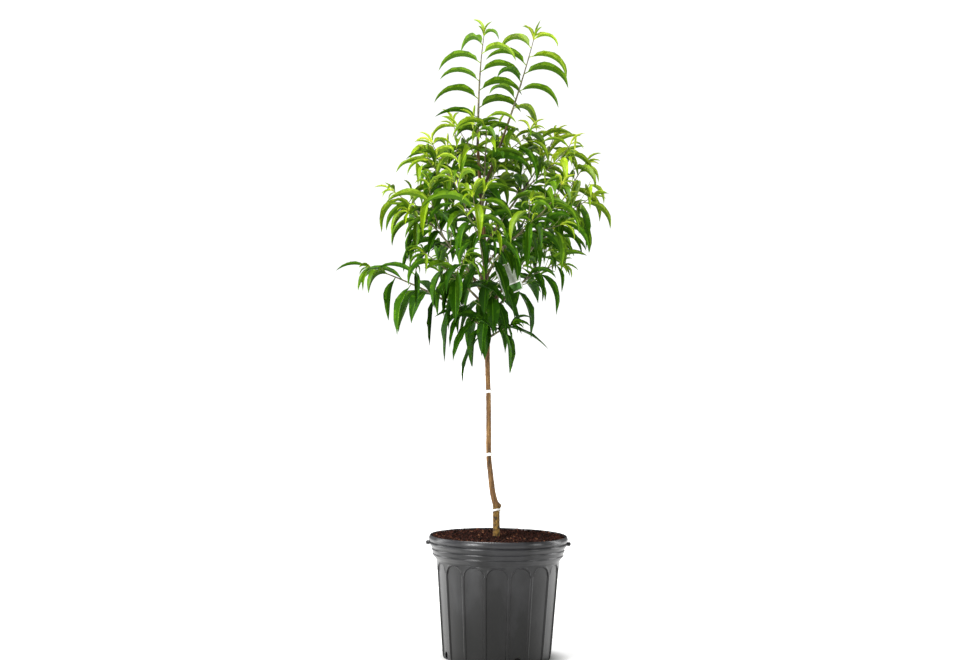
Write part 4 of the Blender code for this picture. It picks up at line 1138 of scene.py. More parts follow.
def make_leaf(rng, point, frame_here, phase, behind, stem_radius, slack, scale=1.0):
    """A leaf some way behind its shoot's tip: young ones arch out, old and low ones hang."""
    tangent, side, other = frame_here
    angle = math.radians(phase + stray(rng, STRAY_ROUND) * (1 + slack))
    out = across_at(side, other, angle)
    opening = math.radians(LEAF_ANGLE + stray(rng, STRAY_OPENING))
    forward = out * math.sin(opening) + tangent * math.cos(opening)
    azimuth = bearing(forward.x, forward.y)
    rise = math.degrees(math.asin(max(-1.0, min(1.0, forward.z))))
    age = min(1.0, behind / LEAF_OLD_AFTER)
    hanging = age * min(1.0, max(0.0, (HANGING_BELOW - point.z) / HANGING_DEPTH))
    if point.z > ALL_HANG_BELOW and random.Random(f"spread-{phase:.0f}-{behind:.4f}").random() < SPREAD_SHARE:
        hanging *= SPREAD_HANG
    lift = min(rise, LEAF_HIGHEST) - LEAF_LEAST_HANG - LEAF_HANG * hanging
    lift += stray(rng, STRAY_LIFT) * (1 + slack)
    bend = LEAF_YOUNG_BEND + LEAF_AGED_BEND * age + LEAF_HANGING_BEND * hanging
    bend += stray(rng, STRAY_BEND)
    grown = min(1.0, behind / LEAF_GROWN_AFTER)
    length = LEAF_YOUNG_LENGTH + (LEAF_GROWN_LENGTH - LEAF_YOUNG_LENGTH) * grown
    length += (LEAF_OLD_LENGTH - LEAF_GROWN_LENGTH) * hanging
    length *= rng.uniform(*STRAY_LENGTH) * (1 - SLACK_SHORTER * slack) * scale
    if point.z < LEADERS_ABOVE:
        lift -= CROWN_FLATTER * (1 - hanging)
        bend -= CROWN_STRAIGHTER * (1 - hanging)
        crown_share = between(CROWN_LEAF_SHARES, smooth_step(*LONGER_HEIGHTS, point.z))
        length *= crown_share + (HANGING_LEAF_SHARE - crown_share) * hanging
    width = length * LEAF_WIDTH_SHARE * rng.uniform(*STRAY_WIDTH) * (YOUNG_WIDTH + GROWN_WIDTH * grown)
    roll = stray(rng, STRAY_ROLL)
    sickle = stray(rng, STRAY_SICKLE)
    return Leaf(point, azimuth, lift, bend, length, width, roll, sickle, age, stem_radius, hanging)


def keep_leaf(leaf, space, owner):
    """Keep a leaf's place if it stays in the crown and touches nothing."""
    if not inside_crown(leaf):
        return False
    whole = leaf_block(leaf, LEAF_TEST_SPARE)
    outer = leaf_block(leaf, LEAF_TEST_SPARE, LEAF_TEST_START)
    clear = space.is_clear(whole, outer, owner)
    if clear:
        space.add(*whole, owner)
    return clear


def tip_leaf(stem, nodes, around):
    """The youngest leaf, which goes on from the stem's end."""
    tangent = around[-2][0]
    azimuth = bearing(tangent.x, tangent.y)
    rise = math.degrees(math.asin(tangent.z))
    length = TIP_LEAF_LENGTH.get(stem.name, TIP_LEAF_DEFAULT)
    bend = TIP_LEAF_BEND.get(stem.name, TIP_BEND_DEFAULT)
    width = length * TIP_LEAF_WIDTH_SHARE
    return Leaf(nodes[-3], azimuth, rise, bend, length, width, 0.0, 0.0, 0.0, TIP_RADIUS, 0.0)


def stem_leaves(stem, space, owner, spacing=LEAF_SPACING, scale=1.0):
    """The leaves of one stem: they turn round it by the same angle, and any that touches is skipped."""
    total = line_length(stem.points)
    count = max(2, round((total - LEAF_MARGIN) / spacing))
    nodes = resample(stem.points, total / LEAF_NODES)
    around = frames(nodes)
    phase = stem.phase
    made = []
    for number in range(count):
        rng = random.Random(f"{SEED}-{stem.name}-{number}")
        share = (LEAF_MARGIN + (total - LEAF_MARGIN) * (number + 0.5) / count) / total
        index = min(round(share * (len(nodes) - 1)), len(nodes) - 2)
        radius = between(stem.radii, share)
        behind = total * (1 - share)
        phase += stem.turn
        for attempt in range(LEAF_TRIES):
            leaf = make_leaf(rng, nodes[index], around[index], phase, behind, radius, attempt, scale)
            if keep_leaf(leaf, space, owner):
                made.append(leaf)
                break
    tip = tip_leaf(stem, nodes, around)
    if stem.name not in TUFTLESS and keep_leaf(tip, space, owner):
        made.append(tip)
    return made


def tube_rings(points, radii, sides):
    """The places of a tube's vertices along a line, each with its outward direction."""
    made = []
    for point, radius, (tangent, side, other) in zip(points, radii, frames(points)):
        for i in range(sides):
            out = across_at(side, other, 2 * math.pi * i / sides)
            made.append((point + out * radius, out))
    return made


def guide_block(stem):
    """The corners and faces of a stem's plain tube of three sides, for testing its place."""
    points = resample(stem.points, TWIG_STEP)
    radii = tapered(points, stem.radii[0], stem.radii[-1])
    verts = [place for place, out in tube_rings(points, radii, 3)]
    return verts, ring_faces(len(points), 3, split=True)


space = Space()
space.add_node("trunk", "trunk")
space.add_node("label", "label")
for row, bough_line, stems in plan:
    if bough_line:
        space.add_node(f"bough_{row.name}", "bough")
for row, bough_line, stems in plan:
    for stem in stems:
        space.add(*guide_block(stem), row.name)
leaves = {row.name: [] for row in BRANCHES}
for row, bough_line, stems in plan:
    for stem in stems:
        leaves[row.name] += stem_leaves(stem, space, row.name)
print(sum(map(len, leaves.values())), "leaves at the places of the solids")

# %% [markdown]
# The solids stop at the side shoots, because every leaf there costs collision work. A real
# crown goes on: short twigs stand on the shoots, each with a few smaller leaves, and every tip
# ends in a tuft of narrow young leaves. The same rule grows them, within the same reach. Close
# to the trunk a few broad old leaves hang on spurs of their own, and a short table places them.

# %% Finer twigs and tip tufts
FINE_SPACING = (0.044, 0.031)
FINE_HEIGHTS = (0.80, 0.94)
FINE_TOP = 1.075
CLOSER = ("crown_back", "crown_front", "left_high", "right_high")
CLOSER_SHARE = 0.78
SPARSE = ("left_mid_1", "left_mid_2", "low_left", "low_left_0", "spur_right")
FINE_FIRST = 0.20
FINE_LAST = 0.86
FINE_LENGTH = (0.034, 0.070)
FINE_OPENING = 48.0
FINE_TURN = 137.5
FINE_PLACE = (0.2, 0.8)
FINE_STRAY_ROUND = 20
FINE_STRAY_OPENING = 10
FINE_RUN = 0.85
FINE_RISE = 0.35
FINE_ARRIVE = 0.9
FINE_STEPS = 12
FINE_THICK_SHARE = 0.62
FINE_THICK_LEAST = 0.0007
FINE_END = 0.0005
FINE_TESTED_FROM = 3
FINE_LEAF_SPACING = 0.0150
FINE_LEAF_SCALE = 0.98
LEADERS = ("top_left", "top_right")
TUFT_LEAVES = 5
TUFT_LENGTH = (0.024, 0.052)
TUFT_STEP = 0.002
TUFT_ROUND = 40
TUFT_OPENING = (12, 52)
TUFT_STEEPEST = 74.0
TUFT_BEND = (40, 110)
TUFT_WIDTH = (0.15, 0.2)
TUFT_ROLL = 20
TUFT_SICKLE = 10
LowLeaf = namedtuple("LowLeaf", "x y height azimuth lift length width")
LOW_LEAVES = tuple(LowLeaf(*row) for row in (
    (-0.0487, -0.020, 0.6820, -150, -40, 0.106, 0.023),
    (-0.0395, -0.026, 0.7260, -100, -50, 0.118, 0.023),
    (-0.0200, -0.022, 0.7200, -60, -50, 0.086, 0.021),
    (-0.0400, 0.018, 0.6500, 170, -52, 0.112, 0.019),
    (-0.0500, -0.022, 0.7500, -165, -38, 0.112, 0.025),
    (-0.0080, -0.012, 0.6670, -20, -6, 0.116, 0.018),
    (-0.0570, -0.016, 0.7160, -160, -45, 0.110, 0.023),
    (-0.0300, -0.034, 0.7000, -110, -60, 0.100, 0.022),
    (-0.0130, -0.026, 0.7000, -35, -45, 0.085, 0.019),
    (-0.0340, -0.034, 0.7620, -95, -50, 0.115, 0.025),
    (-0.0140, -0.030, 0.7560, -50, -45, 0.100, 0.021),
    (-0.0450, -0.038, 0.7920, -130, -45, 0.110, 0.023),
    (-0.0200, -0.044, 0.8020, -70, -45, 0.110, 0.023),
    (0.0020, -0.072, 0.8180, -75, -40, 0.062, 0.019),
    (0.0230, -0.082, 0.8060, -70, -52, 0.056, 0.017),
    (-0.0310, -0.018, 0.6800, -95, -66, 0.085, 0.022),
    (-0.0240, -0.024, 0.7300, -80, -62, 0.095, 0.023),
    (-0.0420, -0.030, 0.7050, -120, -62, 0.110, 0.024),
    (-0.0250, -0.048, 0.7750, -90, -62, 0.110, 0.024),
    (-0.0600, -0.030, 0.7700, -150, -50, 0.110, 0.024),
    (-0.0150, 0.026, 0.7000, 60, -45, 0.105, 0.021),
    (-0.0420, 0.030, 0.7300, 120, -45, 0.110, 0.022),
    (-0.0250, 0.036, 0.7700, 90, -40, 0.110, 0.022),
    (-0.0330, -0.014, 0.7700, -105, -58, 0.100, 0.024),
    (-0.0220, -0.014, 0.7850, -75, -60, 0.095, 0.023),
    (-0.0400, -0.016, 0.7400, -125, -58, 0.090, 0.023),
    (-0.0160, -0.018, 0.7450, -60, -64, 0.085, 0.022),
    (-0.0300, -0.024, 0.7550, -88, -72, 0.080, 0.024),
    (-0.0280, -0.030, 0.7900, -92, -66, 0.085, 0.024),
))
LOW_BEND = 42.0
LOW_ROLL = 16
LOW_SICKLE = 14
LOW_SHORTER = 5
SPUR_DROP = 0.6
SPUR_RISE = 30
SPUR_STEPS = 10
SPUR_RADIUS = 0.0013
LOW_TRIES = (
    (0, 0.0), (16, 0.0), (-16, 0.004), (0, 0.010), (24, 0.010), (-24, 0.014), (0, 0.020), (40, 0.020),
    (-40, 0.024),
)


def fine_twigs(stem, space, owner):
    """Short twigs along a stem; one that would leave the crown or touch a limb is skipped."""
    total = line_length(stem.points)
    high = smooth_step(*FINE_HEIGHTS, stem.points[len(stem.points) // 2].z)
    spacing = between(FINE_SPACING, high)
    if owner in CLOSER:
        spacing *= CLOSER_SHARE
    count = int(total * (FINE_LAST - FINE_FIRST) / spacing)
    nodes = resample(stem.points, total / LEAF_NODES)
    around = frames(nodes)
    made = []
    for number in range(count):
        rng = random.Random(f"{SEED}-fine-{stem.name}-{number}")
        share = FINE_FIRST + (FINE_LAST - FINE_FIRST) * (number + rng.uniform(*FINE_PLACE)) / count
        index = min(round(share * (len(nodes) - 1)), len(nodes) - 2)
        tangent, side, other = around[index]
        angle = math.radians(stem.phase + FINE_TURN * number + stray(rng, FINE_STRAY_ROUND))
        out = across_at(side, other, angle)
        opening = math.radians(FINE_OPENING + stray(rng, FINE_STRAY_OPENING))
        leave = out * math.sin(opening) + tangent * math.cos(opening)
        length = rng.uniform(*FINE_LENGTH)
        end = nodes[index] + leave * length * FINE_RUN + Vector((0, 0, length * FINE_RISE))
        arrive = (leave + Vector((0, 0, FINE_ARRIVE))).normalized()
        points = cubic(nodes[index], leave, end, arrive, FINE_STEPS)
        thick = between(stem.radii, share) * FINE_THICK_SHARE
        radii = tapered(points, max(thick, FINE_THICK_LEAST), FINE_END)
        twig = Stem(points, radii, FINE_TURN, rng.uniform(0, 360), False, f"fine-{stem.name}-{number}")
        block = guide_block(twig)
        low, high = np.min(block[0], axis=0), np.max(block[0], axis=0)
        if low[0] < LEFT_LIMIT or high[0] > RIGHT_LIMIT:
            continue
        if high[2] > FINE_TOP or max(-low[1], high[1]) > DEPTH_LIMIT:
            continue
        outer = guide_block(twig._replace(points=points[FINE_TESTED_FROM:], radii=radii[FINE_TESTED_FROM:]))
        if space.is_clear(outer, outer, owner):
            space.add(*block, owner)
            made.append(twig)
    return made


def tip_tuft(stem, space, owner):
    """A few narrow young leaves round a stem's end."""
    rng = random.Random(f"{SEED}-tuft-{stem.name}")
    nodes = resample(stem.points, TUFT_STEP)
    around = frames(nodes)
    made = []
    for number in range(TUFT_LEAVES):
        back = min(1 + number, len(nodes) - 2)
        tangent, side, other = around[-1 - back]
        angle = math.radians(FINE_TURN * number + rng.uniform(0, TUFT_ROUND))
        out = across_at(side, other, angle)
        opening = math.radians(rng.uniform(*TUFT_OPENING))
        forward = out * math.sin(opening) + tangent * math.cos(opening)
        azimuth = bearing(forward.x, forward.y)
        rise = min(math.degrees(math.asin(forward.z)), TUFT_STEEPEST)
        length = rng.uniform(*TUFT_LENGTH)
        bend, width = rng.uniform(*TUFT_BEND), length * rng.uniform(*TUFT_WIDTH)
        roll, sickle = stray(rng, TUFT_ROLL), stray(rng, TUFT_SICKLE)
        leaf = Leaf(nodes[-1 - back], azimuth, rise, bend, length, width, roll, sickle, 0.0, TIP_RADIUS, 0.0)
        if keep_leaf(leaf, space, owner):
            made.append(leaf)
    return made


def low_leaf(row, number, space):
    """A broad old leaf that hangs close to the trunk on its own short spur."""
    rng = random.Random(f"{SEED}-low-{number}")
    owner = "spur_left" if row.x < CROWN_X else "spur_right"
    for turn, outward in LOW_TRIES:
        root = Vector((row.x, row.y, row.height)) + heading(row.azimuth, 0.0) * outward
        roll, sickle = stray(rng, LOW_ROLL), stray(rng, LOW_SICKLE)
        length = row.length * (1 - LOW_SHORTER * outward)
        leaf = Leaf(root, row.azimuth + turn, row.lift, LOW_BEND, length, row.width, roll, sickle, 1.0,
                    TIP_RADIUS, 1.0)
        if keep_leaf(leaf, space, owner):
            start = trunk_at(row.height - SPUR_DROP * (root - trunk_at(row.height)[0]).length)[0]
            away = root - start
            leave = heading(bearing(away.x, away.y), SPUR_RISE)
            line = cubic(start, leave, root, away.normalized(), SPUR_STEPS)
            spur = Stem(line, tapered(line, SPUR_RADIUS, TIP_RADIUS), FINE_TURN, 0.0, False, f"low-{number}")
            return owner, leaf, spur
    return None


twigs = {row.name: [] for row in BRANCHES}
low_made = [made for number, row in enumerate(LOW_LEAVES) if (made := low_leaf(row, number, space))]
for owner, leaf, spur in low_made:
    leaves[owner].append(leaf)
print(len(low_made), "low leaves of", len(LOW_LEAVES))
for row, bough_line, stems in plan:
    for stem in stems:
        if row.name not in LEADERS and stem.name not in SPARSE:
            twigs[row.name] += fine_twigs(stem, space, row.name)
for row, bough_line, stems in plan:
    for twig in twigs[row.name]:
        leaves[row.name] += stem_leaves(twig, space, row.name, FINE_LEAF_SPACING, FINE_LEAF_SCALE)
    for stem in stems:
        if stem.name not in TUFTLESS:
            leaves[row.name] += tip_tuft(stem, space, row.name)
for owner, leaf, spur in low_made:
    twigs[owner].append(spur)
print(sum(map(len, twigs.values())), "finer twigs,", sum(map(len, leaves.values())), "leaves in all")

# %% [markdown]
# The trunk is the one limb that shows in full. It is only as thick as a thumb: a mottled
# yellow-brown stock below, a knobbly graft where the peach was budded on, and above it a bark
# with fine upright grain and the short cross-marks that cherries and peaches share. A tube with
# a bump map would stay a smooth tube at its outline, so the grain is real relief. A circle is
# extruded upward ring by ring, and each vertex is then moved to the trunk's curve and relief.

# %% Trunk with its bark
FLARE_HEIGHT = 0.012
FLARE_LOBES = 3
FLARE_DEPTH = 0.015
GRAFT_HEIGHT = 0.3060
GRAFT_SPREAD = 0.0044
GRAFT_BULGE = 0.58
BARK_SIDES = 40
BARK_STEP = 0.0030
BARK_GRAIN = 0.00028
BARK_GRAIN_SCALE = (900, 90)
KNOT_SCALE = (160, 110)
KNOT_SHIFT = 7
KNOT_LEAST = 0.25
KNOT_RISE = 0.0011
LENTICEL_RISE = 0.00030
LENTICEL_PITCH = 0.0085
LENTICEL_SECTOR = 1.3
LENTICEL_PLACE = (0.2, 0.8)
LENTICEL_SHARE = 0.55
LENTICEL_HALF = 0.0011
FULL_RELIEF_FROM = 0.005
TRUNK_START = 0.2405
RING_START = 0.01


def relief(point, angle, height):
    """The bark's rise at a place: upright grain, small knots and short cross-marks."""
    across, along = BARK_GRAIN_SCALE
    fine = noise.noise(Vector((point.x * across, point.y * across, height * along))) * BARK_GRAIN
    across, along = KNOT_SCALE
    lump = noise.noise(Vector((point.x * across, point.y * across, height * along + KNOT_SHIFT)))
    knots = max(lump - KNOT_LEAST, 0.0) * KNOT_RISE
    row = math.floor(height / LENTICEL_PITCH)
    mark = random.Random(f"mark-{row}-{math.floor(angle / LENTICEL_SECTOR)}")
    middle = (row + mark.uniform(*LENTICEL_PLACE)) * LENTICEL_PITCH
    lens = 0.0
    if mark.random() < LENTICEL_SHARE:
        lens = LENTICEL_RISE * math.exp(-(((height - middle) / LENTICEL_HALF) ** 2))
    return fine + knots + lens


def trunk_radius(height, angle):
    """The trunk's radius at an angle, with the root flare and the swelling of the graft."""
    radius = trunk_at(height)[1]
    low = math.exp(-(((height - TRUNK_STATIONS[0].height) / FLARE_HEIGHT) ** 2))
    flare = FLARE_DEPTH * low * (1 + math.cos(FLARE_LOBES * angle))
    graft = math.exp(-(((height - GRAFT_HEIGHT) / GRAFT_SPREAD) ** 2))
    bulge = GRAFT_BULGE * graft * max(math.cos(angle), 0.0) ** 3
    return radius * (1 + flare + bulge)


top_of_trunk = TRUNK_STATIONS[-1].height
ring_count = round((top_of_trunk - TRUNK_START) / BARK_STEP)
heights = [TRUNK_START + (top_of_trunk - TRUNK_START) * i / ring_count for i in range(ring_count + 1)]
trunk = turned("trunk_bark", BARK_SIDES, [(RING_START, z) for z in heights])
for vert in trunk.data.vertices:
    height = vert.co.z
    angle = math.atan2(vert.co.y, vert.co.x)
    axis = trunk_at(height)[0]
    if vert.co.xy.length < RING_START / 100:
        vert.co.x, vert.co.y = axis.x, axis.y
        continue
    out = Vector((math.cos(angle), math.sin(angle), 0))
    radius = trunk_radius(height, angle)
    radius += relief(axis + out * radius, angle, height) * min(1.0, radius / FULL_RELIEF_FROM)
    vert.co = Vector((axis.x, axis.y, height)) + out * radius
smooth(trunk, 60)
print("trunk", len(trunk.data.polygons), "faces,", ring_count, "rings")

# %% [markdown]
# The boughs repeat one form many times, so they are joined meshes from arrays: a tube of twelve
# sides along each line, thicker in a collar where it leaves the trunk, with a rough skin.
# The stems and twigs in the masses are thinner tubes with a small swelling at each leaf.

# %% Boughs, stems and twigs
BOUGH_SIDES = 12
BOUGH_STEP = 0.004
STEM_SIDES = 7
STEM_STEP = 0.008
FINE_SIDES = 5
SKIN_SCALE = 700
SKIN_STRETCH = 0.4
BOUGH_ROUGH = 0.00022
STEM_ROUGH = 0.00008
NODE_HALF = 0.0022
STEM_SWELLING = 0.22
FINE_SWELLING = 0.25
BARE_TIP_AT = 0.86


def tube(points, radii, sides, rough):
    """A closed tube's vertices and faces, with ends and a rough skin."""
    verts = []
    for place, out in tube_rings(points, radii, sides):
        spot = Vector((place.x, place.y, place.z * SKIN_STRETCH)) * SKIN_SCALE
        verts.append(place + out * (rough * noise.noise(spot)))
    faces = ring_faces(len(points), sides)
    faces.append(tuple(range(sides - 1, -1, -1)))
    faces.append(tuple(range(len(verts) - sides, len(verts))))
    return verts, faces


def gather(parts):
    """Join (vertices, faces, material numbers) parts into one set of lists."""
    verts, faces, shades = [], [], []
    for some_verts, some_faces, some_shades in parts:
        base = len(verts)
        verts += [tuple(v) for v in some_verts]
        faces += [tuple(base + i for i in face) for face in some_faces]
        shades += some_shades
    return verts, faces, shades


def swollen(points, radii, every, share):
    """Radii with a small swelling at each leaf's node along a stem."""
    made, travelled = [], 0.0
    for i, radius in enumerate(radii):
        if i:
            travelled += (points[i] - points[i - 1]).length
        place = (travelled / every) % 1.0
        near = min(place, 1 - place) * every
        made.append(radius * (1 + share * math.exp(-((near / NODE_HALF) ** 2))))
    return made


def stem_tube(stem, sides, step, swelling, shade):
    """One stem as a tube with its nodes."""
    points = resample(stem.points, step)
    radii = tapered(points, stem.radii[0], stem.radii[-1])
    verts, faces = tube(points, swollen(points, radii, LEAF_SPACING, swelling), sides, STEM_ROUGH)
    return verts, faces, [shade] * len(faces)


def short_of_tip(stem):
    """A stem that ends a little below its tip, where no leaf covers it."""
    kept = round(len(stem.points) * BARE_TIP_AT)
    return stem._replace(points=stem.points[:kept], radii=stem.radii[:kept])


bough_parts = []
for row, bough_line, stems in plan:
    if bough_line:
        points = resample(bough_line[0], BOUGH_STEP)
        radii = tapered(points, bough_line[1][0] / COLLAR, bough_line[1][-1], collar=True)
        verts, faces = tube(points, radii, BOUGH_SIDES, BOUGH_ROUGH)
        bough_parts.append((verts, faces, [0] * len(faces)))
print(len(bough_parts), "boughs")

# %% [markdown]
# Bark colour changes with height: the stock is yellow-brown and mottled, the trunk above the
# graft is a warm brown with dark and pale upright streaks, and the boughs turn olive where the
# wood is young. The trunk's material reads the height to pass from the stock to the scion, and
# the boughs have a material of their own.

# %% Bark finishes
BARK_ROUGHNESS = 0.82
STREAKS = (150.0, 6.0, (1.0, 1.0, 0.16))
STREAK_STOPS = (0.34, 0.50, 0.66)
MOTTLE = (210.0, 4.0, (1.0, 1.0, 0.7))
STOCK_TONES = ((0.38, "33240b"), (0.50, "664a16"), (0.64, "8c6c2c"))
GRAFT_SPAN = {"From Min": GRAFT_HEIGHT - 0.006, "From Max": GRAFT_HEIGHT + 0.004}


def bark_finish(name, dark, middle, pale):
    """A bark with upright streaks in three tones and a rough skin."""
    made, shader = new_finish(name, middle, BARK_ROUGHNESS)
    colour = ramp(made, grain(made, *STREAKS), tuple(zip(STREAK_STOPS, (dark, middle, pale))))
    return made, shader, colour


trunk_finish, trunk_shader, scion_colour = bark_finish("scion_bark", "392812", "664722", "8a693c")
stock_colour = ramp(trunk_finish, grain(trunk_finish, *MOTTLE), STOCK_TONES)
above = node(trunk_finish, "ShaderNodeMapRange", GRAFT_SPAN, Value=own_place(trunk_finish, "Z"))
blend = node(trunk_finish, "ShaderNodeMix", {"data_type": "RGBA"})
for socket, number in ((above.outputs["Result"], 0), (stock_colour, 6), (scion_colour, 7)):
    feed(trunk_finish, socket, blend, number)
feed(trunk_finish, blend.outputs[2], trunk_shader, "Base Color")
bump(trunk_finish, trunk_shader, grain(trunk_finish, 420.0, 6.0, (1.0, 1.0, 0.3)), 0.6, 0.0006)
dress(trunk, trunk_finish)

bough_finish, bough_shader, bough_colour = bark_finish("bough_bark", "2e2415", "54432a", "75653f")
feed(bough_finish, bough_colour, bough_shader, "Base Color")
bump(bough_finish, bough_shader, grain(bough_finish, 520.0, 5.0), 0.5, 0.0004)
boughs = joined_mesh("bough_bark", *gather(bough_parts), [bough_finish])
smooth(boughs, 60)

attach(trunk, "root")
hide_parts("trunk")
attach(boughs, "root")
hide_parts(*[f"bough_{row.name}" for row, bough_line, stems in plan if bough_line])
print("bark on the trunk and", len(bough_parts), "boughs")

# %% [markdown]
# Wood in the masses is of two ages: the stems are olive-brown, and the finer twigs of this
# year are green. The finish belongs to the whole tube, so each kind has its own colour with a
# little grain.

# %% Stems in the masses
OLIVES = ((0.35, "40382a"), (0.5, "5a5638"), (0.65, "78754c"))
TWIG_GREENS = ((0.35, "5f6a30"), (0.65, "8a9a48"))

stem_finish, _ = grained("stem_olive", "5a5638", 0.62, 160.0, 4.0, OLIVES)
young_finish, _ = grained("twig_green", "74823a", 0.55, 200.0, 4.0, TWIG_GREENS)
for row, bough_line, stems in plan:
    ends = [short_of_tip(stem) if stem.name in TUFTLESS else stem for stem in stems]
    parts = [stem_tube(stem, STEM_SIDES, STEM_STEP, STEM_SWELLING, 0) for stem in ends]
    parts += [stem_tube(twig, FINE_SIDES, STEM_STEP, FINE_SWELLING, 1) for twig in twigs[row.name]]
    made = joined_mesh(f"twigs_{row.name}", *gather(parts), [stem_finish, young_finish])
    smooth(made, 60)
    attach(made, "root")
print("stems of", len(plan), "masses")

# %% [markdown]
# The leaves are what the eye goes to. Each is a thin closed blade: the upper skin in two wings
# that rise from the midrib, a pale strip for the midrib itself, and a duller underside. The
# underside is painted darker near the midrib as painted shade and paler at its edge as painted
# light, the glow of light through the thin margin. Its margin waves a little. There are too many
# to model one by one, so one function writes a blade's vertices from its midrib's curve, and
# each mass of leaves is one joined mesh.

# %% Leaf blades from arrays
ROW_LENGTH = 0.0088
LEAST_ROWS = 5
MOST_ROWS = 11
TOP_ACROSS = (-1.0, -0.08, 0.08, 1.0)
BACK_ACROSS = (0.52, 0.0, -0.52)
# The back's inner strips carry painted shade and its edge strips painted light
STRIP_PARTS = (0, 1, 0, 3, 2, 2, 3)
BLADE_STEPS = 84
BLADE_THICKNESS = 0.00034
BLADE_SWELL = 0.0005
PETIOLE_SHARE = 0.085
PETIOLE_HALF = 0.0006
OUTLINE_RISE = 0.70
OUTLINE_FALL = 1.22
OUTLINE_PEAK = OUTLINE_RISE / (OUTLINE_RISE + OUTLINE_FALL)
OUTLINE_SCALE = 1 / (OUTLINE_PEAK**OUTLINE_RISE * (1 - OUTLINE_PEAK) ** OUTLINE_FALL)
WING_CURVE = 0.90
EDGE_WAVE = 0.10
EDGE_WAVES = (2.0, 4.5)
WHOLE_TURN = 6.28
OTHER_EDGE = 1.9
BLADE_FROM = 0.5
BLADE_FULL = 2.5
FOLD_CHANCE = (0.85, 1.15)
BLADE_SLIM = 0.69
FOLD_YOUNG = 1.45
FOLD_OLD = 1.25
FOLD_HANGING = 0.38
HANGING_WIDTH = 1.16


def half_width(leaf, share):
    """Half a leaf's width at a share of its length, from its stalk to its point."""
    if share <= PETIOLE_SHARE:
        return PETIOLE_HALF
    along = (share - PETIOLE_SHARE) / (1 - PETIOLE_SHARE)
    wide = OUTLINE_SCALE * along**OUTLINE_RISE * (1 - along) ** OUTLINE_FALL
    slim = BLADE_SLIM + (HANGING_WIDTH - BLADE_SLIM) * leaf.hanging
    return max(PETIOLE_HALF * (1 - along), 0.5 * slim * leaf.width * wide)


def blade_fold(leaf):
    """How steeply a leaf's wings rise: young leaves fold up, hanging ones lie open."""
    grown = FOLD_YOUNG + (FOLD_OLD - FOLD_YOUNG) * leaf.age
    return grown + (FOLD_HANGING - grown) * leaf.hanging


def blade(leaf, rng, fold):
    """One leaf's vertices, faces and part numbers: 0 upper skin, 1 midrib, 2 back (painted shade), 3 back's
    edge (painted light).
    """
    spine = leaf_spine(leaf, BLADE_STEPS)
    rows = min(max(round(leaf.length / ROW_LENGTH), LEAST_ROWS), MOST_ROWS)
    waves, shift = rng.uniform(*EDGE_WAVES), rng.uniform(0, WHOLE_TURN)
    verts = []
    for row in range(rows):
        share = row / rows
        point, forward, up, across = spine[round(share * BLADE_STEPS)]
        half = half_width(leaf, share)
        blade_part = smooth_step(PETIOLE_SHARE * BLADE_FROM, PETIOLE_SHARE * BLADE_FULL, share)
        for kind, places in ((0, TOP_ACROSS), (1, BACK_ACROSS)):
            for t in places:
                lift = fold * half * abs(t) ** WING_CURVE
                beat = WHOLE_TURN * waves * share + shift + (OTHER_EDGE if t > 0 else 0)
                ripple = EDGE_WAVE * half * t * t * math.sin(beat)
                drop = (BLADE_THICKNESS + (BLADE_SWELL if t == 0 else 0)) * kind
                verts.append(point + across * (half * t) + up * (lift + ripple * blade_part - drop))
    verts.append(spine[-1][0])
    size = len(TOP_ACROSS) + len(BACK_ACROSS)
    faces, parts = [], []
    for row in range(rows):
        for k in range(size):
            a, b = row * size + k, row * size + (k + 1) % size
            last = row == rows - 1
            faces.append((b, a, len(verts) - 1) if last else (b, a, a + size, b + size))
            stalk = row / rows < PETIOLE_SHARE
            parts.append(1 if stalk else STRIP_PARTS[k])
    faces.append(tuple(range(size)))
    parts.append(1)
    return verts, faces, parts


test_leaf = blade(leaves["low_left"][0], random.Random(1), LEAF_FOLD)
print("one blade has", len(test_leaf[0]), "vertices and", len(test_leaf[1]), "faces")

# %% [markdown]
# Peach leaves aren't one green. The tufts at the tips are yellow-green and nearly let the light
# through, and old leaves are darker than young ones. The shades also carry painted light and
# shade: leaves high and far out in the crown get lighter copies of the green as painted light,
# and the old leaves that hang low and inside get deep ones as painted shade. The shades are
# plain colours, and each leaf is dealt one by its age, its height and how far out it stands,
# with a little chance. A trace of light scatters inside the paler blades.

# %% Leaf shades
# Each shade's upper skin, midrib, underside and underside's edge as screen colours; the underside is painted
# shade and its edge painted light
LEAF_SHADES = (
    ("deep", "1d4003", "38600c", "193804", "2c5005"),
    ("shaded", "1f4301", "42680c", "1c3e01", "335a05"),
    ("mature", "2e5601", "547a0e", "284e02", "446c09"),
    ("green", "476a02", "6e8a14", "385a03", "5c800e"),
    ("bright", "668202", "8aa41e", "4e6d05", "7c981e"),
    ("fresh", "809a02", "a4b828", "648208", "98b02a"),
    ("young", "98ae08", "bcc636", "7c9414", "b0bc3a"),
    ("tip", "b4c612", "cccf4a", "a0b226", "c4cc48"),
)
LEAF_PARTS = ("top", "rib", "under", "edge")
LEAF_GLOSS = (0.46, 0.60, 0.70, 0.70)
LEAF_SHINE = (0.05, 0.06, 0.09, 0.13, 0.17, 0.20, 0.22, 0.22)
LEAF_GLOW = (0.0, 0.0, 0.0, 0.0, 0.03, 0.05, 0.08, 0.08)
GLOW_DEPTH = (0.0012, 0.0022, 0.0004)
LEAF_GRAIN = (160.0, 1.0)
OUTWARD_REACH = 0.20
HIGH_FROM = 0.66
HIGH_SPAN = 0.40
HIGH_LIGHT = 3.5
OUTER_LIGHT = 1.5
OUTER_POWER = 1.5
YOUNG_LIGHT = 0.9
LIGHT_DROP = 0.1
LIGHT_CHANCE = 0.9
YOUNGEST = 0.1
SHORT_LEAF = 0.052
SHORT_LIGHT = (0.35, 0.8)
LEADERS_DARKER = 0.35

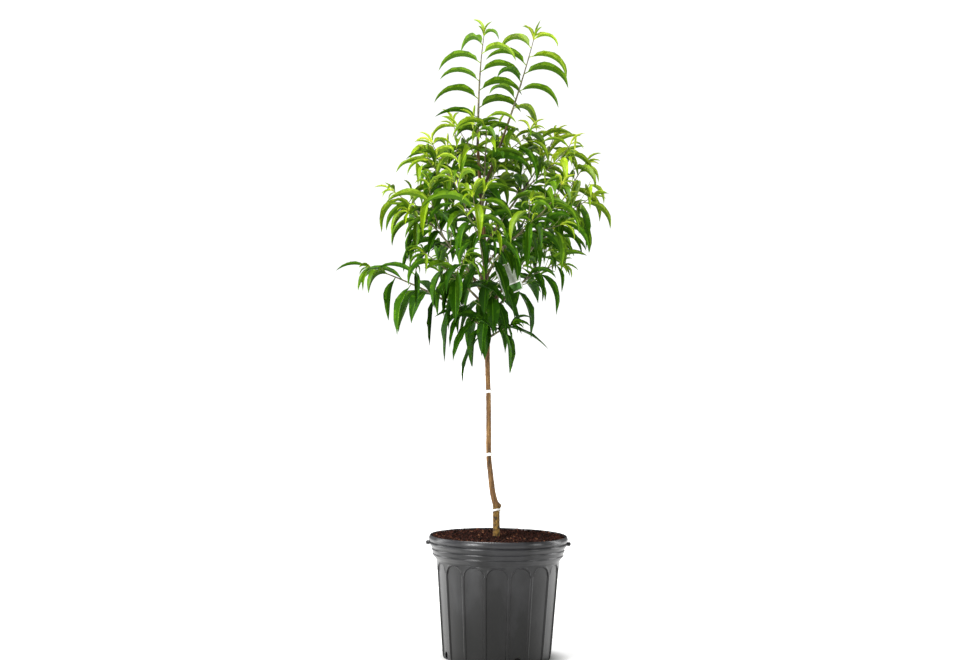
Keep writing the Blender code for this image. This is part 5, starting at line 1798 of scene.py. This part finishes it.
leaf_finishes = []
for (shade_name, *screens), shade_shine, shade_glow in zip(LEAF_SHADES, LEAF_SHINE, LEAF_GLOW):
    for part, screen, gloss in zip(LEAF_PARTS, screens, LEAF_GLOSS):
        finish, shader = new_finish(f"leaf_{shade_name}_{part}", screen, gloss)
        shader.inputs["Subsurface Weight"].default_value = shade_glow
        shader.inputs["Subsurface Radius"].default_value = GLOW_DEPTH
        shader.inputs["Subsurface Scale"].default_value = 1.0
        shine(shade_shine, shader)
        bump(finish, shader, grain(finish, *LEAF_GRAIN), 0.10, 0.0003)
        leaf_finishes.append(finish)
print(len(leaf_finishes), "leaf finishes")


def shade_number(leaf, rng):
    """Which shade a leaf is dealt: old leaves are darker and young tips paler, high and outer leaves get
    painted light, low and inner ones painted shade.
    """
    middle = leaf_spine(leaf)[LEAF_STEPS // 2][0]
    outward = min(math.hypot(middle.x - CROWN_X, middle.y) / OUTWARD_REACH, 1.0)
    high = min(max((middle.z - HIGH_FROM) / HIGH_SPAN, 0.0), 1.0)
    # Painted light and shade: height and how far out a leaf stands lighten its shade; youth lightens it too
    light = HIGH_LIGHT * high + OUTER_LIGHT * outward**OUTER_POWER + YOUNG_LIGHT * (1 - leaf.age)
    light -= LIGHT_DROP
    light += stray(rng, LIGHT_CHANCE)
    if leaf.length < SHORT_LEAF and leaf.age < YOUNGEST:
        light += SHORT_LIGHT[0] + SHORT_LIGHT[1] * high
    if middle.z > LEADERS_ABOVE:
        light -= LEADERS_DARKER
    return min(max(int(light), 0), len(LEAF_SHADES) - 1)


total_faces = 0
for row in BRANCHES:
    parts = []
    for number, leaf in enumerate(leaves[row.name]):
        rng = random.Random(f"{SEED}-blade-{row.name}-{number}")
        shade = shade_number(leaf, rng)
        verts, faces, kinds = blade(leaf, rng, blade_fold(leaf) * rng.uniform(*FOLD_CHANCE))
        parts.append((verts, faces, [shade * len(LEAF_PARTS) + kind for kind in kinds]))
    made = joined_mesh(f"leaves_{row.name}_blades", *gather(parts), leaf_finishes)
    smooth(made, 70)
    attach(made, "root")
    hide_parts(f"leaves_{row.name}")
    total_faces += len(made.data.polygons)
print("blades in", len(BRANCHES), "masses,", total_faces, "faces")

# %% [markdown]
# Three white stretch ties ring the trunk. Each is a flat band of soft plastic with a knot at
# its side. A short open cylinder gets its wall from Solidify and its soft edges from Bevel, and
# the knot is a lumpy bead joined to the band.

# %% Ties
TIE_HEIGHTS = (0.2965, 0.4075, 0.5340)
TIE_BANDS = (0.0040, 0.0062, 0.0062)
TIE_SLOPES = (0.0016, 0.0006, 0.0006)
TIE_THICKNESS = 0.0011
TIE_CLEARANCE = 0.0008
BAND_SLOPE = 0.0006
BAND_SIDES = 36
BAND_WAVE = 0.00025
BAND_WAVES = 5
BAND_SHIFT = 900
BAND_TURN = 0.3
BAND_RIPPLE = 0.0003
BAND_RIPPLES = 3
BAND_SOFT_SHARE = 0.35
TIE_KNOT_TURN = -0.35
TIE_KNOT_OUT = 0.0016
TIE_KNOT_RADIUS = 0.0021
TIE_KNOT_SIDES = 20
TIE_KNOT_RINGS = 12
TIE_KNOT_SHAPE = (0.85, 0.8, 1.1)
TIE_KNOT_LUMPS = 0.35
TIE_KNOT_GRAIN = 900
TIE_WHITES = ((0.3, "d6d4cb"), (0.6, "efeee9"))

tie_finish, tie_shader = grained("tie_white", "e9e8e2", 0.5, 260.0, 3.0, TIE_WHITES)
bump(tie_finish, tie_shader, grain(tie_finish, 700.0, 3.0, (1.0, 1.0, 2.0)), 0.25, 0.0004)


def band(name, height, width, thickness, clearance=TIE_CLEARANCE, slope=BAND_SLOPE):
    """A soft flat band round the trunk, a little askew."""
    axis = trunk_at(height)[0]
    made = primitive(
        bpy.ops.mesh.primitive_cylinder_add, vertices=BAND_SIDES, radius=1.0, depth=width,
        end_fill_type="NOTHING", location=(0, 0, height),
    )
    made.name = name
    bpy.ops.object.transform_apply()
    mode("EDIT")
    bpy.ops.mesh.select_all(action="SELECT")
    bpy.ops.mesh.subdivide(number_cuts=1)
    mode("OBJECT")
    for vert in made.data.vertices:
        angle = math.atan2(vert.co.y, vert.co.x)
        wave = BAND_WAVE * math.sin(BAND_WAVES * angle + height * BAND_SHIFT)
        radius = trunk_radius(vert.co.z, angle) + clearance + wave
        vert.co.x, vert.co.y = axis.x + radius * math.cos(angle), radius * math.sin(angle)
        vert.co.z += slope * math.cos(angle + BAND_TURN) + BAND_RIPPLE * math.sin(BAND_RIPPLES * angle)
    wall = made.modifiers.new("wall", "SOLIDIFY")
    wall.thickness = thickness
    wall.offset = 1.0
    soft = made.modifiers.new("soft", "BEVEL")
    soft.width = thickness * BAND_SOFT_SHARE
    soft.segments = 2
    for change in (wall, soft):
        bpy.ops.object.modifier_apply(modifier=change.name)
    return made


def knot(height):
    """A small lumpy knot at the side of a band."""
    out = Vector((math.cos(TIE_KNOT_TURN), math.sin(TIE_KNOT_TURN), 0))
    near = trunk_radius(height, 0.0) + TIE_KNOT_OUT
    centre = trunk_at(height)[0] + out * near
    made = primitive(
        bpy.ops.mesh.primitive_uv_sphere_add, segments=TIE_KNOT_SIDES, ring_count=TIE_KNOT_RINGS,
        radius=TIE_KNOT_RADIUS, location=centre,
    )
    made.scale = TIE_KNOT_SHAPE
    bpy.ops.object.transform_apply()
    for vert in made.data.vertices:
        vert.co += (vert.co - centre) * (TIE_KNOT_LUMPS * noise.noise(vert.co * TIE_KNOT_GRAIN))
    return made


for number, (height, width, slope) in enumerate(zip(TIE_HEIGHTS, TIE_BANDS, TIE_SLOPES), 1):
    made = band(f"tie_{number}_band", height, width, TIE_THICKNESS, slope=slope)
    cut(made, [knot(height)], "UNION")
    smooth(made, 40)
    dress(made, tie_finish)
    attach(made, "root")
    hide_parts(f"tie_{number}")
print(len(TIE_HEIGHTS), "ties")

# %% [markdown]
# The label is a plastic card on a narrow strap, hung inside the crown. It is left plain: a
# white card with a pale upper field and a green lower field inside a white border. The card is
# a cube pressed flat, with bevelled corners and a slight bow, and the two fields are faces inside
# its border, each with its own finish.

# %% Label
TAG_WIDTH = 0.044
TAG_HEIGHT = 0.060
TAG_THICKNESS = 0.0008
TAG_CENTRE = Vector((0.0140, -0.0500, 0.7600))
TAG_TILT = math.radians(20.0)
TAG_YAW = math.radians(-24.0)
TAG_BORDER = 0.0022
TAG_BOW = 0.0012
STRAP_HEIGHT = 0.8110
STRAP_BAND = 0.0036
STRAP_WIDTH = 0.0032
STRAP_THICKNESS = 0.0009
CORNER_ROUND = 0.003
CORNER_STEPS = 4
FIELD_LINES = (-0.013, -0.0105)
CARD_ROWS = (*FIELD_LINES, 0.0, 0.0105, 0.021)
CARD_COLUMNS = (-0.5, -0.25, 0.0, 0.25, 0.5)
CARD_FACING = 0.9
CARD_SHINE = 0.15
STRAP_CLEARANCE = 0.0005
STRAP_OUT = 0.0010
STRAP_STEPS = 16
STRAP_INSET = (0.006, 0.004)
CARD_TONES = ((0.3, "cfd0cc"), (0.7, "e6e6e2"))
UPPER_TONES = ((0.3, "7e8874"), (0.7, "b0b6a8"))
LOWER_TONES = ((0.3, "2e5a18"), (0.7, "487a2a"))

facing = Vector((math.sin(TAG_YAW), -math.cos(TAG_YAW), 0))
level = Vector((-facing.y, facing.x, 0))
upward = Vector((0, 0, 1))
tag_across = level * math.cos(TAG_TILT) + upward * math.sin(TAG_TILT)
tag_rise = upward * math.cos(TAG_TILT) - level * math.sin(TAG_TILT)

card_finish, card_shader = grained("label_white", "dcdcd8", 0.4, 60.0, 2.0, CARD_TONES)
upper_finish, upper_shader = grained("label_grey", "98a08e", 0.4, 90.0, 3.0, UPPER_TONES)
lower_finish, lower_shader = grained("label_green", "3c6e24", 0.5, 90.0, 3.0, LOWER_TONES)
shine(CARD_SHINE, card_shader, upper_shader, lower_shader)


def card():
    """The card, flat in its own plane, with rounded corners and two fields on each side."""
    made = primitive(bpy.ops.mesh.primitive_cube_add, size=1.0)
    made.name = "label_card"
    made.scale = (TAG_WIDTH, TAG_THICKNESS, TAG_HEIGHT)
    bpy.ops.object.transform_apply()
    bevel_edges(made, lambda a, b: abs(a.y - b.y) > TAG_THICKNESS / 2, CORNER_ROUND, CORNER_STEPS)
    cuts = [((0, 0, height), (0, 0, 1)) for height in CARD_ROWS]
    cuts += [(((TAG_WIDTH - 2 * TAG_BORDER) * place, 0, 0), (1, 0, 0)) for place in CARD_COLUMNS]
    cuts += [((0, 0, side * (TAG_HEIGHT / 2 - TAG_BORDER)), (0, 0, 1)) for side in (-1, 1)]
    mode("EDIT")
    for place, across in cuts:
        bpy.ops.mesh.select_all(action="SELECT")
        bpy.ops.mesh.bisect(plane_co=place, plane_no=across)
    mode("OBJECT")
    return made


def colour_card(thing):
    """Give the card's border, upper field and lower field their finishes."""
    dress(thing, card_finish, upper_finish, lower_finish)
    low_line, high_line = FIELD_LINES
    for face in thing.data.polygons:
        middle = face.center
        inner = abs(middle.x) < TAG_WIDTH / 2 - TAG_BORDER and abs(middle.z) < TAG_HEIGHT / 2 - TAG_BORDER
        if inner and abs(face.normal.y) > CARD_FACING:
            face.material_index = 1 if middle.z > high_line else (2 if middle.z < low_line else 0)


label = card()
colour_card(label)
for vert in label.data.vertices:
    flat = vert.co.copy()
    flat.y += TAG_BOW * (1 - (2 * flat.x / TAG_WIDTH) ** 2)
    vert.co = TAG_CENTRE + tag_across * flat.x - facing * flat.y + tag_rise * flat.z

strap = band("label_strap", STRAP_HEIGHT, STRAP_BAND, STRAP_THICKNESS, STRAP_CLEARANCE)
inset_across, inset_rise = STRAP_INSET
corner = TAG_CENTRE + tag_rise * (TAG_HEIGHT / 2 - inset_rise) - tag_across * (TAG_WIDTH / 2 - inset_across)
axis, radius = trunk_at(STRAP_HEIGHT)
toward = corner - axis
flat_way = Vector((toward.x, toward.y, 0)).normalized()
strap_start = axis + flat_way * (radius + STRAP_OUT)
strap_points = cubic(strap_start, flat_way, corner, (corner - strap_start).normalized(), STRAP_STEPS)
strip_verts = []
for point, (tangent, side, other) in zip(strap_points, frames(strap_points)):
    wide = tangent.cross(facing).normalized() * (STRAP_WIDTH / 2)
    thick = wide.cross(tangent).normalized() * (STRAP_THICKNESS / 2)
    strip_verts += [point + wide + thick, point + wide - thick, point - wide - thick, point - wide + thick]
strip_faces = ring_faces(len(strap_points), 4)
strip_faces += [(3, 2, 1, 0), tuple(range(len(strip_verts) - 4, len(strip_verts)))]
strip_verts = [tuple(v) for v in strip_verts]
strip = joined_mesh("strip", strip_verts, strip_faces, [0] * len(strip_faces), [card_finish])
cut(strap, [strip], "UNION")
dress(strap, card_finish)
for made in (label, strap):
    smooth(made, 35)
    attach(made, "root")
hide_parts("label")
print("label card", TAG_WIDTH, "by", TAG_HEIGHT, "m on its strap")
